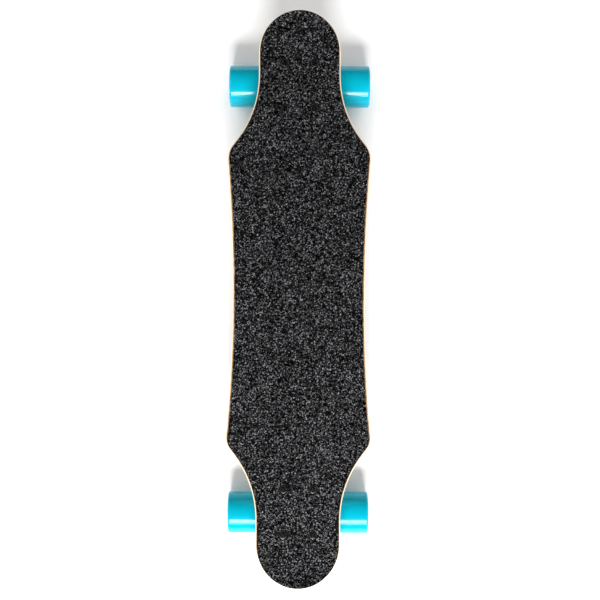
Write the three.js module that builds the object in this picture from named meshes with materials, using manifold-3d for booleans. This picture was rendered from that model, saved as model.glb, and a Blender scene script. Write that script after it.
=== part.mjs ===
// Electric skateboard: a flat cruiser deck with cut-outs for the wheels, traditional-kingpin trucks,
// one hub motor in the rear right wheel, and a battery and controller in a tray under the deck.
// Millimetres. +X is the rider's right when facing the nose, +Y the nose, +Z up.
// The origin is on the ground under the middle of the board.
import * as THREE from 'three';
import { ConvexGeometry } from 'three/addons/geometries/ConvexGeometry.js';
import { mergeVertices } from 'three/addons/utils/BufferGeometryUtils.js';
import Module from 'manifold-3d';

const wasm = await Module();
wasm.setup();

// ---------------------------------------------------------------- driving dimensions

const GAP = 0.3; // left between pieces that touch on the real board

// Wheels and axles
const WHEEL_R = 29.5;
const WHEEL_WIDTH = 45;
const WHEEL_X = 77.75; // middle of a wheel
const AXLE_Z = WHEEL_R;
const AXLE_R = 3.95;
const AXLE_END = 98.5;
const AXLE_CLEARANCE = 0.35;
const HANGER_HALF = 64.5;
const TYRE_SIDES = 32;
const RING_SIDES = 18;
const SMALL_SIDES = 12;

// Trucks, measured from the middle of the bolt pattern on the deck's underside
const TRUCK_HEIGHT = 50; // deck underside to axle
const TRUCK_Y = 296; // middle of the bolt pattern
const BOLT_HALF_X = 20.65;
const BOLT_HALF_Y = 31.75;
const AXLE_OUT = 11.5; // how far the axle lies outboard of the pattern's middle
const BASE_HALF_X = 27;
const BASE_HALF_Y = 41;
const BASE_THICK = 6;
const KINGPIN_LEAN = THREE.MathUtils.degToRad(20);
const KINGPIN_R = 4.75;
const KINGPIN_TOP = [-4, -8]; // outboard, up: where the kingpin's line passes the plate
const RING_AT = 24; // along the kingpin from there to the middle of the hanger's ring
const RING_HALF = 4.5;
const RING_R = 15;
const PIVOT_RISE = THREE.MathUtils.degToRad(28.3);
const PIVOT_LENGTH = 43.4; // from the ring's middle to the pivot cup
const BUSHING_R = 12.2;

// Deck
const DECK_BOTTOM = AXLE_Z + TRUCK_HEIGHT;
const DECK_THICK = 11;
const DECK_TOP = DECK_BOTTOM + DECK_THICK;
const DECK_HALF_LENGTH = 400;
const WAIST_HALF = 91.5;
const NOSE = { shoulderHalf: 99.4, shoulderY: 191, neckHalf: 56.7, neckY: 312 };
const TAIL = { shoulderHalf: 100.2, shoulderY: 186, neckHalf: 58.8, neckY: 307 };
const SHOULDER_ROUND = 12;
const FLARE_R = 150.8;
const FLARE_TURN = THREE.MathUtils.degToRad(36.2);
const CONCAVE_FROM = 55; // half widths between which the deck's sides curve up
const CONCAVE_TO = 99;
const CONCAVE_RISE = 5;
const KICK_FROM = 341;
const KICK_RISE = 8;
const TIP_HALF = 3; // half the blunt width left at each tip
const GRIP_THICK = 0.9;
const GRIP_SIDE_MARGIN = 2.3;
const GRIP_TIP_MARGIN = 0.8;
const GRIP_BOTTOM = DECK_TOP + GAP;
const GRIP_TOP = GRIP_BOTTOM + GRIP_THICK;

// Deck bolts, M5
const BOLT_R = 2.4;
const BOLT_HEAD_R = 4.6;
const BOLT_HEAD_TOP = GRIP_TOP - 0.2;
const NUT_HEIGHT = 4.9;
const NUT_R = 4.62;
const BOLT_SIDES = 8;

// Tray under the deck
const TRAY_HALF_X = 59;
const TRAY_HALF_Y = 200;
const TRAY_BOTTOM = 47.5;
const TRAY_CHAMFER = 7;
const TRAY_WALL = 2.5;
const TRAY_CORNER = 12;
const FLANGE_HALF_X = 66;
const FLANGE_HALF_Y = 208;
const FLANGE_THICK = 2.8;
const GASKET_THICK = 1.3;
const TRAY_TOP = DECK_BOTTOM - 0.2 - GASKET_THICK - 0.2;
const SIDE_Z = 63; // height of the button, socket and gauge on the right side
const BUTTON_Y = -60;
const SOCKET_Y = -95;
const GAUGE_Y = -25;
const HEATSINK_Y = -115;
const GLAND_X = 25;
const GLAND_Z = 64;
const CABLE_R = 2.5;

// ---------------------------------------------------------------- materials

const FINISH = {
  maple: { color: 0xd8b98a, roughness: 0.5, metalness: 0 },
  grip: { color: 0x1b1c1e, roughness: 0.95, metalness: 0 },
  blackSteel: { color: 0x141414, roughness: 0.4, metalness: 0.9 },
  zincSteel: { color: 0xa8abad, roughness: 0.35, metalness: 1 },
  castAluminium: { color: 0xb5b8ba, roughness: 0.38, metalness: 1 },
  urethane: { color: 0x10a9c0, roughness: 0.22, metalness: 0 },
  bushingUrethane: { color: 0x20262a, roughness: 0.4, metalness: 0 },
  blackNylon: { color: 0x17181a, roughness: 0.55, metalness: 0 },
  anodised: { color: 0x2a2c30, roughness: 0.35, metalness: 0.9 },
  lamination: { color: 0x5a5d60, roughness: 0.5, metalness: 0.9 },
  magnet: { color: 0x8d9093, roughness: 0.3, metalness: 1 },
  trayPlastic: { color: 0x1c1d1f, roughness: 0.6, metalness: 0 },
  rubber: { color: 0x151515, roughness: 0.8, metalness: 0 },
  cellWrap: { color: 0x2f5f9a, roughness: 0.45, metalness: 0 },
  circuitBoard: { color: 0x1f5a33, roughness: 0.45, metalness: 0 },
  gaugeLens: { color: 0x2b3236, roughness: 0.1, metalness: 0 },
};

// ---------------------------------------------------------------- shape helpers

// A geometry as a solid that can be joined and cut. Collapsed triangles on a turning axis are dropped.
function toSolid(geometry) {
  const bare = geometry.clone();
  bare.deleteAttribute('normal');
  bare.deleteAttribute('uv');
  const merged = mergeVertices(bare, 1e-4);
  const corners = merged.index.array;
  const kept = [];
  for (let i = 0; i < corners.length; i += 3) {
    const [a, b, c] = [corners[i], corners[i + 1], corners[i + 2]];
    if (a !== b && b !== c && c !== a) kept.push(a, b, c);
  }
  const build = (triangles) => new wasm.Manifold(new wasm.Mesh({
    numProp: 3,
    vertProperties: Float32Array.from(merged.attributes.position.array),
    triVerts: Uint32Array.from(triangles),
  }));
  const solid = build(kept);
  if (solid.volume() > 0) return solid;
  const flipped = [];
  for (let i = 0; i < kept.length; i += 3) flipped.push(kept[i], kept[i + 2], kept[i + 1]);
  return build(flipped);
}

function toGeometry(solid) {
  const mesh = solid.getMesh();
  const geometry = new THREE.BufferGeometry();
  const points = new Float32Array(mesh.triVerts.length * 3);
  mesh.triVerts.forEach((vertex, i) => {
    for (let k = 0; k < 3; k += 1) points[3 * i + k] = mesh.vertProperties[vertex * mesh.numProp + k];
  });
  geometry.setAttribute('position', new THREE.BufferAttribute(points, 3));
  geometry.computeVertexNormals();
  return geometry;
}

const join = (solids) => solids.reduce((whole, solid) => whole.add(solid));
const cut = (solid, tools) => tools.reduce((left, tool) => left.subtract(tool), solid);

// A profile of [radius, height] pairs turned about +Z. It starts and ends on the axis or closes on itself.
function turned(profile, sides, phase = 0) {
  const points = profile.map(([r, z]) => new THREE.Vector2(r, z));
  const onAxis = profile[0][0] === 0 && profile[profile.length - 1][0] === 0;
  if (!onAxis) points.push(points[0].clone());
  return new THREE.LatheGeometry(points, sides, phase).rotateX(Math.PI / 2);
}

const rod = (r, z0, z1, sides) => turned([[0, z0], [r, z0], [r, z1], [0, z1]], sides);
const tube = (rIn, rOut, z0, z1, sides) => turned([[rIn, z0], [rOut, z0], [rOut, z1], [rIn, z1]], sides);
const aboutX = (geometry) => geometry.rotateY(Math.PI / 2);

// Turns +Z to a direction and moves the geometry to a point.
function placed(geometry, point, direction) {
  const turn = new THREE.Quaternion().setFromUnitVectors(new THREE.Vector3(0, 0, 1), direction);
  return geometry.applyQuaternion(turn).translate(point.x, point.y, point.z);
}

function block(x0, x1, y0, y1, z0, z1) {
  const box = new THREE.BoxGeometry(x1 - x0, y1 - y0, z1 - z0);
  return box.translate((x0 + x1) / 2, (y0 + y1) / 2, (z0 + z1) / 2);
}

function roundedRect(halfX, halfY, radius) {
  const shape = new THREE.Shape();
  shape.absarc(halfX - radius, halfY - radius, radius, 0, Math.PI / 2);
  shape.absarc(radius - halfX, halfY - radius, radius, Math.PI / 2, Math.PI);
  shape.absarc(radius - halfX, radius - halfY, radius, Math.PI, 1.5 * Math.PI);
  shape.absarc(halfX - radius, radius - halfY, radius, 1.5 * Math.PI, 2 * Math.PI);
  return shape;
}

function plate(halfX, halfY, radius, z0, z1) {
  const options = { depth: z1 - z0, bevelEnabled: false, curveSegments: 3 };
  return new THREE.ExtrudeGeometry(roundedRect(halfX, halfY, radius), options).translate(0, 0, z0);
}

const board = new THREE.Group();

function addNode(parent, name, shape, finish) {
  const geometry = shape.isBufferGeometry ? toGeometry(toSolid(shape)) : toGeometry(shape);
  const material = new THREE.MeshStandardMaterial(FINISH[finish]);
  const mesh = new THREE.Mesh(geometry, material);
  mesh.name = name;
  parent.add(mesh);
}

// ---------------------------------------------------------------- deck and grip tape

// Half widths and places along the board for one quarter of the outline, from the middle to the tip:
// a slow curve from waist to shoulder, a rounded corner, a straight flare, a concave arc, and the tip.
function outlineQuarter(end, sideMargin, tipMargin) {
  const neckMargin = (sideMargin + tipMargin) / 2;
  const neck = end.neckHalf - neckMargin;
  const flareR = FLARE_R + neckMargin;
  const arcX = end.neckHalf + FLARE_R;
  const flare = new THREE.Vector2(Math.sin(FLARE_TURN), -Math.cos(FLARE_TURN));
  const flareEnd = new THREE.Vector2(arcX, end.neckY).sub(
    new THREE.Vector2(Math.cos(FLARE_TURN), Math.sin(FLARE_TURN)).multiplyScalar(flareR),
  );
  const roundEnd = flareEnd.clone().addScaledVector(flare, SHOULDER_ROUND);
  const corner = flareEnd.clone().addScaledVector(flare, 2 * SHOULDER_ROUND);
  const tipY = DECK_HALF_LENGTH - tipMargin - neck;
  const waist = WAIST_HALF - sideMargin;
  const path = new THREE.Path();
  path.moveTo(waist, 0);
  path.quadraticCurveTo(waist, end.shoulderY / 2, end.shoulderHalf - sideMargin, end.shoulderY);
  path.quadraticCurveTo(corner.x, corner.y, roundEnd.x, roundEnd.y);
  path.lineTo(flareEnd.x, flareEnd.y);
  path.absarc(arcX, end.neckY, flareR, Math.PI + FLARE_TURN, Math.PI, true);
  path.lineTo(neck, tipY);
  path.absarc(0, tipY, neck, 0, Math.PI / 2);
  return path.getPoints(3);
}

function surfaceRise(x, y) {
  const side = Math.max(Math.abs(x) - CONCAVE_FROM, 0) / (CONCAVE_TO - CONCAVE_FROM);
  const tip = Math.max(Math.abs(y) - KICK_FROM, 0) / (DECK_HALF_LENGTH - KICK_FROM);
  return CONCAVE_RISE * side ** 2 + KICK_RISE * tip ** 2;
}

// A sheet that fills the outline between two heights and follows the deck's curves. Its rows run
// across the board, each with the same stations: flat in the middle, closer together at the rails.
function curvedSheet(sideMargin, tipMargin, z0, z1) {
  const stations = [-1, -0.8, -0.6, 0.6, 0.8, 1];
  const nose = outlineQuarter(NOSE, sideMargin, tipMargin);
  const tail = outlineQuarter(TAIL, sideMargin, tipMargin).slice(1).reverse();
  const rows = [...tail.map((p) => new THREE.Vector2(p.x, -p.y)), ...nose];
  const points = [];
  for (const row of rows) {
    const half = Math.max(row.x, TIP_HALF);
    for (const station of stations) {
      const x = station * half;
      const rise = surfaceRise(x, row.y);
      points.push(x, row.y, z0 + rise, x, row.y, z1 + rise);
    }
  }
  const across = stations.length;
  const low = (i, j) => 2 * (i * across + j);
  const high = (i, j) => low(i, j) + 1;
  const triangles = [];
  const quad = (a, b, c, d) => triangles.push(a, b, c, a, c, d);
  const lastRow = rows.length - 1;
  const lastStation = across - 1;
  for (let i = 0; i < lastRow; i += 1) {
    for (let j = 0; j < lastStation; j += 1) {
      quad(high(i, j), high(i, j + 1), high(i + 1, j + 1), high(i + 1, j));
      quad(low(i, j), low(i + 1, j), low(i + 1, j + 1), low(i, j + 1));
    }
    quad(low(i, 0), high(i, 0), high(i + 1, 0), low(i + 1, 0));
    quad(high(i, lastStation), low(i, lastStation), low(i + 1, lastStation), high(i + 1, lastStation));
  }
  for (let j = 0; j < lastStation; j += 1) {
    quad(low(0, j), low(0, j + 1), high(0, j + 1), high(0, j));
    quad(low(lastRow, j + 1), low(lastRow, j), high(lastRow, j), high(lastRow, j + 1));
  }
  const geometry = new THREE.BufferGeometry();
  geometry.setAttribute('position', new THREE.BufferAttribute(new Float32Array(points), 3));
  geometry.setIndex(triangles);
  return geometry;
}

// The eight places of the deck bolts: two trucks, four bolts each.
function boltPlaces() {
  const places = [];
  for (const [end, sign] of [['front', 1], ['rear', -1]]) {
    for (const [corner, dx, dy] of [
      ['outer_left', -1, 1], ['outer_right', 1, 1], ['inner_left', -1, -1], ['inner_right', 1, -1],
    ]) {
      const x = dx * BOLT_HALF_X;
      const y = sign * (TRUCK_Y + dy * BOLT_HALF_Y);
      places.push({ name: `deck_bolt_${end}_${corner}`, x, y });
    }
  }
  return places;
}

// A countersunk bolt with its lock nut already on, as one turned and one hexagonal solid.
function deckBolt() {
  const headBottom = BOLT_HEAD_TOP - (BOLT_HEAD_R - BOLT_R);
  const nutTop = DECK_BOTTOM - BASE_THICK - GAP;
  const nutBottom = nutTop - NUT_HEIGHT;
  const end = nutBottom - 2.5;
  const shank = turned([
    [0, end], [BOLT_R, end], [BOLT_R, headBottom], [BOLT_HEAD_R, BOLT_HEAD_TOP], [0, BOLT_HEAD_TOP],
  ], BOLT_SIDES);
  return join([toSolid(shank), toSolid(rod(NUT_R, nutBottom, nutTop, 6))]);
}

// The room that a deck bolt needs in the pieces it passes through.
function boltHole(x, y) {
  const r = BOLT_R + 0.4;
  const headR = BOLT_HEAD_R + 0.5;
  const sinkTop = BOLT_HEAD_TOP + 0.1;
  const profile = [
    [0, 0], [r, 0], [r, sinkTop - (headR - r)], [headR, sinkTop], [headR, sinkTop + 20], [0, sinkTop + 20],
  ];
  return toSolid(turned(profile, BOLT_SIDES).translate(x, y, 0));
}

function buildDeck() {
  const holes = boltPlaces().map(({ x, y }) => boltHole(x, y));
  addNode(board, 'deck', cut(toSolid(curvedSheet(0, 0, DECK_BOTTOM, DECK_TOP)), holes), 'maple');
  const grip = curvedSheet(GRIP_SIDE_MARGIN, GRIP_TIP_MARGIN, GRIP_BOTTOM, GRIP_TOP);
  addNode(board, 'grip_tape', cut(toSolid(grip), holes), 'grip');
  const bolt = deckBolt();
  for (const { name, x, y } of boltPlaces()) {
    addNode(board, name, bolt.translate([x, y, 0]), 'blackSteel');
  }
}

// ---------------------------------------------------------------- trucks

// Inside a truck's group: origin in the middle of the bolt pattern on the deck's underside,
// +Y outboard, +Z up.
const kingpinDown = new THREE.Vector3(0, -Math.sin(KINGPIN_LEAN), -Math.cos(KINGPIN_LEAN));
const kingpinTop = new THREE.Vector3(0, ...KINGPIN_TOP);
const ringMiddle = kingpinTop.clone().addScaledVector(kingpinDown, RING_AT);
const pivotOut = new THREE.Vector3(0, Math.cos(PIVOT_RISE), Math.sin(PIVOT_RISE));
const axleMiddle = new THREE.Vector3(0, AXLE_OUT, -TRUCK_HEIGHT);

const onKingpin = (geometry) => toSolid(placed(geometry, kingpinTop, kingpinDown));
const onPivot = (geometry) => toSolid(placed(geometry, ringMiddle, pivotOut));
const onAxle = (geometry) => toSolid(aboutX(geometry).translate(0, AXLE_OUT, -TRUCK_HEIGHT));

const SEAT_AT = 5; // along the kingpin: the boss that the upper bushing bears on
const WASHER = 1.8;
const LOWER_WASHER = 1.6;
const LOWER_BUSHING = 10.4;
const BUSHING_CORNER = 2;
const KINGPIN_HEAD_R = 6.6;
const KINGPIN_END = 52;
const KINGPIN_NUT_R = 8.25;
const RING_HOLE_R = 8.5;
const BUSHING_ROOM = BUSHING_R + 2.1;
const BASE_CORNER = 8;
const BOSS_R = 15;
const BEAM_R = 12; // of the hanger round the axle: near its middle, and at its ends
const BEAM_END_R = 8;
const NOSE_R = 6.5;
const NOSE_TIP_R = 4.6;
const AXLE_NUT_R = 7.5;
const AXLE_NUT_SPAN = [91.3, 97.3];
const PAST = 80; // a cutter's reach past whatever it cuts
const CUP_FROM = PIVOT_LENGTH - 5;
const CUP_TO = PIVOT_LENGTH + 5;
const CUP_R = 6.5;

function baseplate() {
  const below = -0.2; // the plate's top face, just clear of the deck
  const footing = toSolid(plate(BASE_HALF_X, BASE_HALF_Y, BASE_CORNER, -BASE_THICK, below));
  const kingpinBoss = onKingpin(turned([
    [0, -8], [BOSS_R, -8], [BUSHING_R - 0.7, SEAT_AT], [0, SEAT_AT],
  ], RING_SIDES));
  const pivotBoss = onPivot(turned([
    [0, CUP_FROM - 0.5], [CUP_R + 3.5, CUP_FROM - 0.5], [CUP_R + 7, CUP_TO + 4], [0, CUP_TO + 4],
  ], RING_SIDES));
  const headPocket = onKingpin(rod(KINGPIN_HEAD_R + 0.6, -20, 1, SMALL_SIDES));
  const shaftHole = onKingpin(rod(KINGPIN_R + 0.35, 0, 2 * SEAT_AT, SMALL_SIDES));
  const cupHole = onPivot(rod(CUP_R + GAP + 0.15, CUP_FROM - 10, CUP_TO + GAP, SMALL_SIDES));
  const aboveDeckFace = toSolid(block(-60, 60, -60, 60, below, 30));
  const boltHoles = [-1, 1].flatMap((i) => [-1, 1].map((j) => (
    toSolid(rod(BOLT_R + 0.4, -20, 5, BOLT_SIDES).translate(i * BOLT_HALF_X, j * BOLT_HALF_Y, 0))
  )));
  return cut(join([footing, kingpinBoss, pivotBoss]), [
    headPocket, shaftHole, cupHole, aboveDeckFace, ...boltHoles,
  ]);
}

// A cup of urethane that the hanger's nose turns in.
function pivotCup() {
  const inner = CUP_R - 1.5;
  return onPivot(turned([
    [inner, CUP_FROM], [CUP_R, CUP_FROM], [CUP_R, CUP_TO], [0, CUP_TO], [0, CUP_TO - 1.2],
    [inner, CUP_TO - 1.2],
  ], SMALL_SIDES));
}

function kingpin() {
  return onKingpin(turned([
    [0, -3], [KINGPIN_HEAD_R, -3], [KINGPIN_HEAD_R, 0.8], [KINGPIN_R, 0.8], [KINGPIN_R, KINGPIN_END],
    [0, KINGPIN_END],
  ], SMALL_SIDES));
}

// The lock nut and the cup washer above it, as one flanged nut.
function kingpinNut() {
  const top = RING_AT + RING_HALF + GAP + LOWER_BUSHING + GAP;
  const washer = onKingpin(tube(KINGPIN_R + GAP, BUSHING_R, top, top + LOWER_WASHER, SMALL_SIDES));
  const nut = onKingpin(rod(KINGPIN_NUT_R, top + 1, top + 9.5, 6));
  return cut(join([washer, nut]), [onKingpin(rod(KINGPIN_R + GAP, 0, PAST, SMALL_SIDES))]);
}

function boardsideBushing() {
  const hole = KINGPIN_R + GAP;
  const from = SEAT_AT + WASHER + GAP;
  const to = RING_AT - RING_HALF - GAP;
  return onKingpin(turned([
    [hole, from], [BUSHING_R - 1, from], [BUSHING_R, from + BUSHING_CORNER],
    [BUSHING_R, to - BUSHING_CORNER], [BUSHING_R - 1, to], [hole, to],
  ], SMALL_SIDES));
}

function roadsideBushing() {
  const hole = KINGPIN_R + GAP;
  const from = RING_AT + RING_HALF + GAP;
  const to = from + LOWER_BUSHING;
  return onKingpin(turned([
    [hole, from], [BUSHING_R, from], [BUSHING_R, from + BUSHING_CORNER], [BUSHING_R - 2.5, to],
    [hole, to],
  ], SMALL_SIDES));
}

// Points on circles about the axle, the pivot line or the kingpin, for hulls that blend the casting.
function circle(point, normal, r) {
  const sides = 10;
  const turn = new THREE.Quaternion().setFromUnitVectors(new THREE.Vector3(0, 0, 1), normal);
  const points = [];
  for (let i = 0; i < sides; i += 1) {
    const angle = (2 * Math.PI * i) / sides;
    const spoke = new THREE.Vector3(r * Math.cos(angle), r * Math.sin(angle), 0);
    points.push(spoke.applyQuaternion(turn).add(point));
  }
  return points;
}

const hull = (rings) => toSolid(new ConvexGeometry(rings.flat()));

function hanger() {
  const acrossX = new THREE.Vector3(1, 0, 0);
  const axleRing = (x, r) => circle(axleMiddle.clone().setX(x), acrossX, r);
  const pivotRing = (at, r) => circle(ringMiddle.clone().addScaledVector(pivotOut, at), pivotOut, r);
  const beam = [-1, 1].map((side) => hull([
    axleRing(side * 14, BEAM_R), axleRing(side * HANGER_HALF, BEAM_END_R),
  ]));
  const middle = hull([axleRing(-22, 11.4), axleRing(22, 11.4), pivotRing(20, 7.5), pivotRing(34, 6.5)]);
  const wings = [-1, 1].map((side) => hull([
    axleRing(0, 11), axleRing(side * 50, 8.6), pivotRing(16, 5.5), pivotRing(26, 5.5),
  ]));
  const ringFrom = RING_AT - RING_HALF;
  const ringTo = RING_AT + RING_HALF;
  const ring = onKingpin(rod(RING_R, ringFrom, ringTo, RING_SIDES));
  const ringNeck = hull([
    circle(kingpinTop.clone().addScaledVector(kingpinDown, ringFrom), kingpinDown, RING_R - 1),
    circle(kingpinTop.clone().addScaledVector(kingpinDown, ringTo), kingpinDown, RING_R - 1),
    axleRing(-16, 10), axleRing(16, 10),
  ]);
  const nose = onPivot(turned([
    [0, 18], [NOSE_R, 18], [NOSE_R, 33], [5, 36.5], [NOSE_TIP_R, 38], [NOSE_TIP_R, PIVOT_LENGTH + 0.5],
    [3.2, PIVOT_LENGTH + 2.6], [0, PIVOT_LENGTH + 3.3],
  ], SMALL_SIDES));
  const bushingRoom = [
    onKingpin(rod(BUSHING_ROOM, -12, ringFrom, RING_SIDES)),
    onKingpin(rod(BUSHING_ROOM, ringTo, PAST, RING_SIDES)),
  ];
  const ringHole = onKingpin(rod(RING_HOLE_R, 0, PAST, SMALL_SIDES));
  const axleHole = onAxle(rod(AXLE_R + AXLE_CLEARANCE, -PAST, PAST, SMALL_SIDES));
  return cut(join([...beam, middle, ...wings, ringNeck, ring, nose]), [
    ...bushingRoom, ringHole, axleHole,
  ]);
}

function axleNut(side) {
  const nut = toSolid(aboutX(rod(AXLE_NUT_R, ...AXLE_NUT_SPAN, 6)));
  const hole = toSolid(aboutX(rod(AXLE_R + AXLE_CLEARANCE, 80, 110, SMALL_SIDES)));
  const turn = side > 0 ? 0 : 180;
  return cut(nut, [hole]).rotate([0, 0, turn]).translate([0, AXLE_OUT, -TRUCK_HEIGHT]);
}

function buildTruck(end) {
  const group = new THREE.Group();
  const outboard = end === 'front' ? 1 : -1;
  group.position.set(0, outboard * TRUCK_Y, DECK_BOTTOM);
  group.rotation.z = outboard > 0 ? 0 : Math.PI;
  board.add(group);
  addNode(group, `${end}_baseplate`, baseplate(), 'castAluminium');
  addNode(group, `${end}_pivot_cup`, pivotCup(), 'bushingUrethane');
  addNode(group, `${end}_kingpin`, kingpin(), 'zincSteel');
  addNode(group, `${end}_kingpin_nut`, kingpinNut(), 'zincSteel');
  addNode(group, `${end}_boardside_bushing`, boardsideBushing(), 'bushingUrethane');
  addNode(group, `${end}_roadside_bushing`, roadsideBushing(), 'bushingUrethane');
  addNode(group, `${end}_hanger`, hanger(), 'castAluminium');
  addNode(group, `${end}_axle`, onAxle(rod(AXLE_R, -AXLE_END, AXLE_END, SMALL_SIDES)), 'zincSteel');
  addNode(group, `${end}_axle_nut_left`, axleNut(-outboard), 'zincSteel');
  addNode(group, `${end}_axle_nut_right`, axleNut(outboard), 'zincSteel');
}

// ---------------------------------------------------------------- wheels

const HALF_WIDTH = WHEEL_WIDTH / 2;
const TYRE_EDGE = 2.5; // slope between the rolling surface and each side
const TYRE_BORE_R = 16.5;
const TYRE_LIP_R = 22; // where the dish round the bearing begins
const TYRE_DISH = 4;
const CORE_R = 16.1;
const CORE_HALF = 15;
const BEARING_R = 11;
const BEARING_WIDTH = 7;
const SPACER_HALF = 5.2;
const SPACER_R = 6;

// A urethane tyre about +Z, middle at 0. Its sides are flats that touch the round tyre, so the wheel
// stands on a flat.
function tyre(boreR, boreHalf, lipR) {
  const r = (radius) => radius / Math.cos(Math.PI / TYRE_SIDES);
  const shoulder = HALF_WIDTH - TYRE_EDGE;
  return turned([
    [boreR, -boreHalf], [lipR, -HALF_WIDTH], [r(WHEEL_R - TYRE_EDGE), -HALF_WIDTH],
    [r(WHEEL_R), -shoulder], [r(WHEEL_R), shoulder], [r(WHEEL_R - TYRE_EDGE), HALF_WIDTH],
    [lipR, HALF_WIDTH], [boreR, boreHalf],
  ], TYRE_SIDES, Math.PI / TYRE_SIDES);
}

function wheelCore() {
  const boreR = BEARING_R + GAP;
  const dish = 2.4;
  return turned([
    [boreR, dish - CORE_HALF], [CORE_R - 2.5, -CORE_HALF], [CORE_R, -CORE_HALF],
    [CORE_R, CORE_HALF], [CORE_R - 2.5, CORE_HALF], [boreR, CORE_HALF - dish],
  ], SMALL_SIDES);
}

// Two 608 bearings with the spacer between them.
function wheelBearings() {
  const bore = AXLE_R + AXLE_CLEARANCE;
  const end = SPACER_HALF + BEARING_WIDTH;
  return turned([
    [bore, -end], [BEARING_R, -end], [BEARING_R, -SPACER_HALF], [SPACER_R, -SPACER_HALF],
    [SPACER_R, SPACER_HALF], [BEARING_R, SPACER_HALF], [BEARING_R, end], [bore, end],
  ], SMALL_SIDES);
}

function wheelGroup(end, side) {
  const group = new THREE.Group();
  const outboard = end === 'front' ? 1 : -1;
  group.position.set(side * WHEEL_X, outboard * (TRUCK_Y + AXLE_OUT), AXLE_Z);
  board.add(group);
  return group;
}

function buildWheel(end, side) {
  const name = `${end}_${side < 0 ? 'left' : 'right'}`;
  const group = wheelGroup(end, side);
  addNode(group, `${name}_tire`, aboutX(tyre(TYRE_BORE_R, HALF_WIDTH - TYRE_DISH, TYRE_LIP_R)), 'urethane');
  addNode(group, `${name}_wheel_core`, aboutX(wheelCore()), 'blackNylon');
  addNode(group, `${name}_wheel_bearings`, aboutX(wheelBearings()), 'zincSteel');
}

// Hub motor, about +Z with the middle of the wheel at 0 and +Z outboard.
const CAN_IN = 22.3;
const CAN_OUT = 24.4;
const CAN_HALF = 20.6;
const END_PLATE = [13.8, 16.7]; // the can's outer end
const COVER_PLATE = [-11.7, -8.7]; // the plate that closes the motor's inner side
const MOTOR_BEARING_R = 12;
const MOTOR_BEARING_WIDTH = 4.9;
const OUTER_BEARING_AT = 8.5;
const INNER_BEARING_AT = -11.4;
const BEARING_SEAT_R = 14.5;
const SHAFT_HOLE_R = 9.5;
const MOTOR_TUBE_R = 7.3;
const STATOR_R = 19.4;
const STATOR_SPAN = [-4.8, 6.2];
const MAGNET_IN = STATOR_R + 0.5;
const MAGNET_SPAN = [-6, 7.5];
const SLEEVE_LIP_R = 25.6;
const OUTLET_Y = 12; // the cable's outlet, from the axle towards the nose
const OUTLET_R = 3.4;
const OUTLET_END = -17.7;
const STATOR_FLANGE = [-13, -12.1];

// Turning casing: the can's wall, its outer end and the seat of the outer bearing, in one piece.
function motorCan() {
  const seat = MOTOR_BEARING_R + GAP;
  const seatFrom = OUTER_BEARING_AT - GAP;
  const [inner, outer] = END_PLATE;
  return turned([
    [CAN_OUT, -CAN_HALF], [CAN_OUT, CAN_HALF], [CAN_IN, CAN_HALF], [CAN_IN, outer],
    [SHAFT_HOLE_R, outer], [SHAFT_HOLE_R, inner], [seat, inner], [seat, seatFrom],
    [BEARING_SEAT_R, seatFrom], [BEARING_SEAT_R, inner], [CAN_IN, inner], [CAN_IN, -CAN_HALF],
  ], RING_SIDES);
}

function motorCover() {
  const seat = MOTOR_BEARING_R + GAP;
  const rim = CAN_IN - GAP;
  const seatTo = INNER_BEARING_AT + MOTOR_BEARING_WIDTH + GAP;
  const [outer, inner] = COVER_PLATE;
  return turned([
    [seat, outer], [rim, outer], [rim, inner], [BEARING_SEAT_R, inner], [BEARING_SEAT_R, seatTo],
    [seat, seatTo],
  ], RING_SIDES);
}

// Fixed part: a hollow shaft with a toothed core, and a flange with the cable's outlet.
function motorStator() {
  const teeth = 12;
  const slotFloorR = 10;
  const rootTurn = 0.16; // half of a tooth's root and of its tip, as angles about the axle
  const tipTurn = 0.2;
  const corners = [];
  for (let i = 0; i < teeth; i += 1) {
    const middle = (2 * Math.PI * i) / teeth;
    for (const [r, turn] of [
      [slotFloorR, -rootTurn], [STATOR_R, -tipTurn], [STATOR_R, tipTurn], [slotFloorR, rootTurn],
    ]) {
      corners.push(new THREE.Vector2(r * Math.cos(middle + turn), r * Math.sin(middle + turn)));
    }
  }
  const [coreFrom, coreTo] = STATOR_SPAN;
  const options = { depth: coreTo - coreFrom, bevelEnabled: false };
  const core = new THREE.ExtrudeGeometry(new THREE.Shape(corners), options).translate(0, 0, coreFrom);
  const [flangeFrom, flangeTo] = STATOR_FLANGE;
  const outlet = rod(OUTLET_R, OUTLET_END, flangeTo, 12).translate(0, OUTLET_Y, 0);
  const solid = join([
    toSolid(rod(MOTOR_TUBE_R, flangeFrom, 13.2, RING_SIDES)), toSolid(core),
    toSolid(rod(11.5, flangeFrom, flangeTo, RING_SIDES)), toSolid(outlet),
  ]);
  return cut(solid, [toSolid(rod(AXLE_R + AXLE_CLEARANCE, -30, 30, SMALL_SIDES))]);
}

function motorBearing(from) {
  const to = from + MOTOR_BEARING_WIDTH;
  return tube(MOTOR_TUBE_R + GAP, MOTOR_BEARING_R, from, to, RING_SIDES);
}

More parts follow.
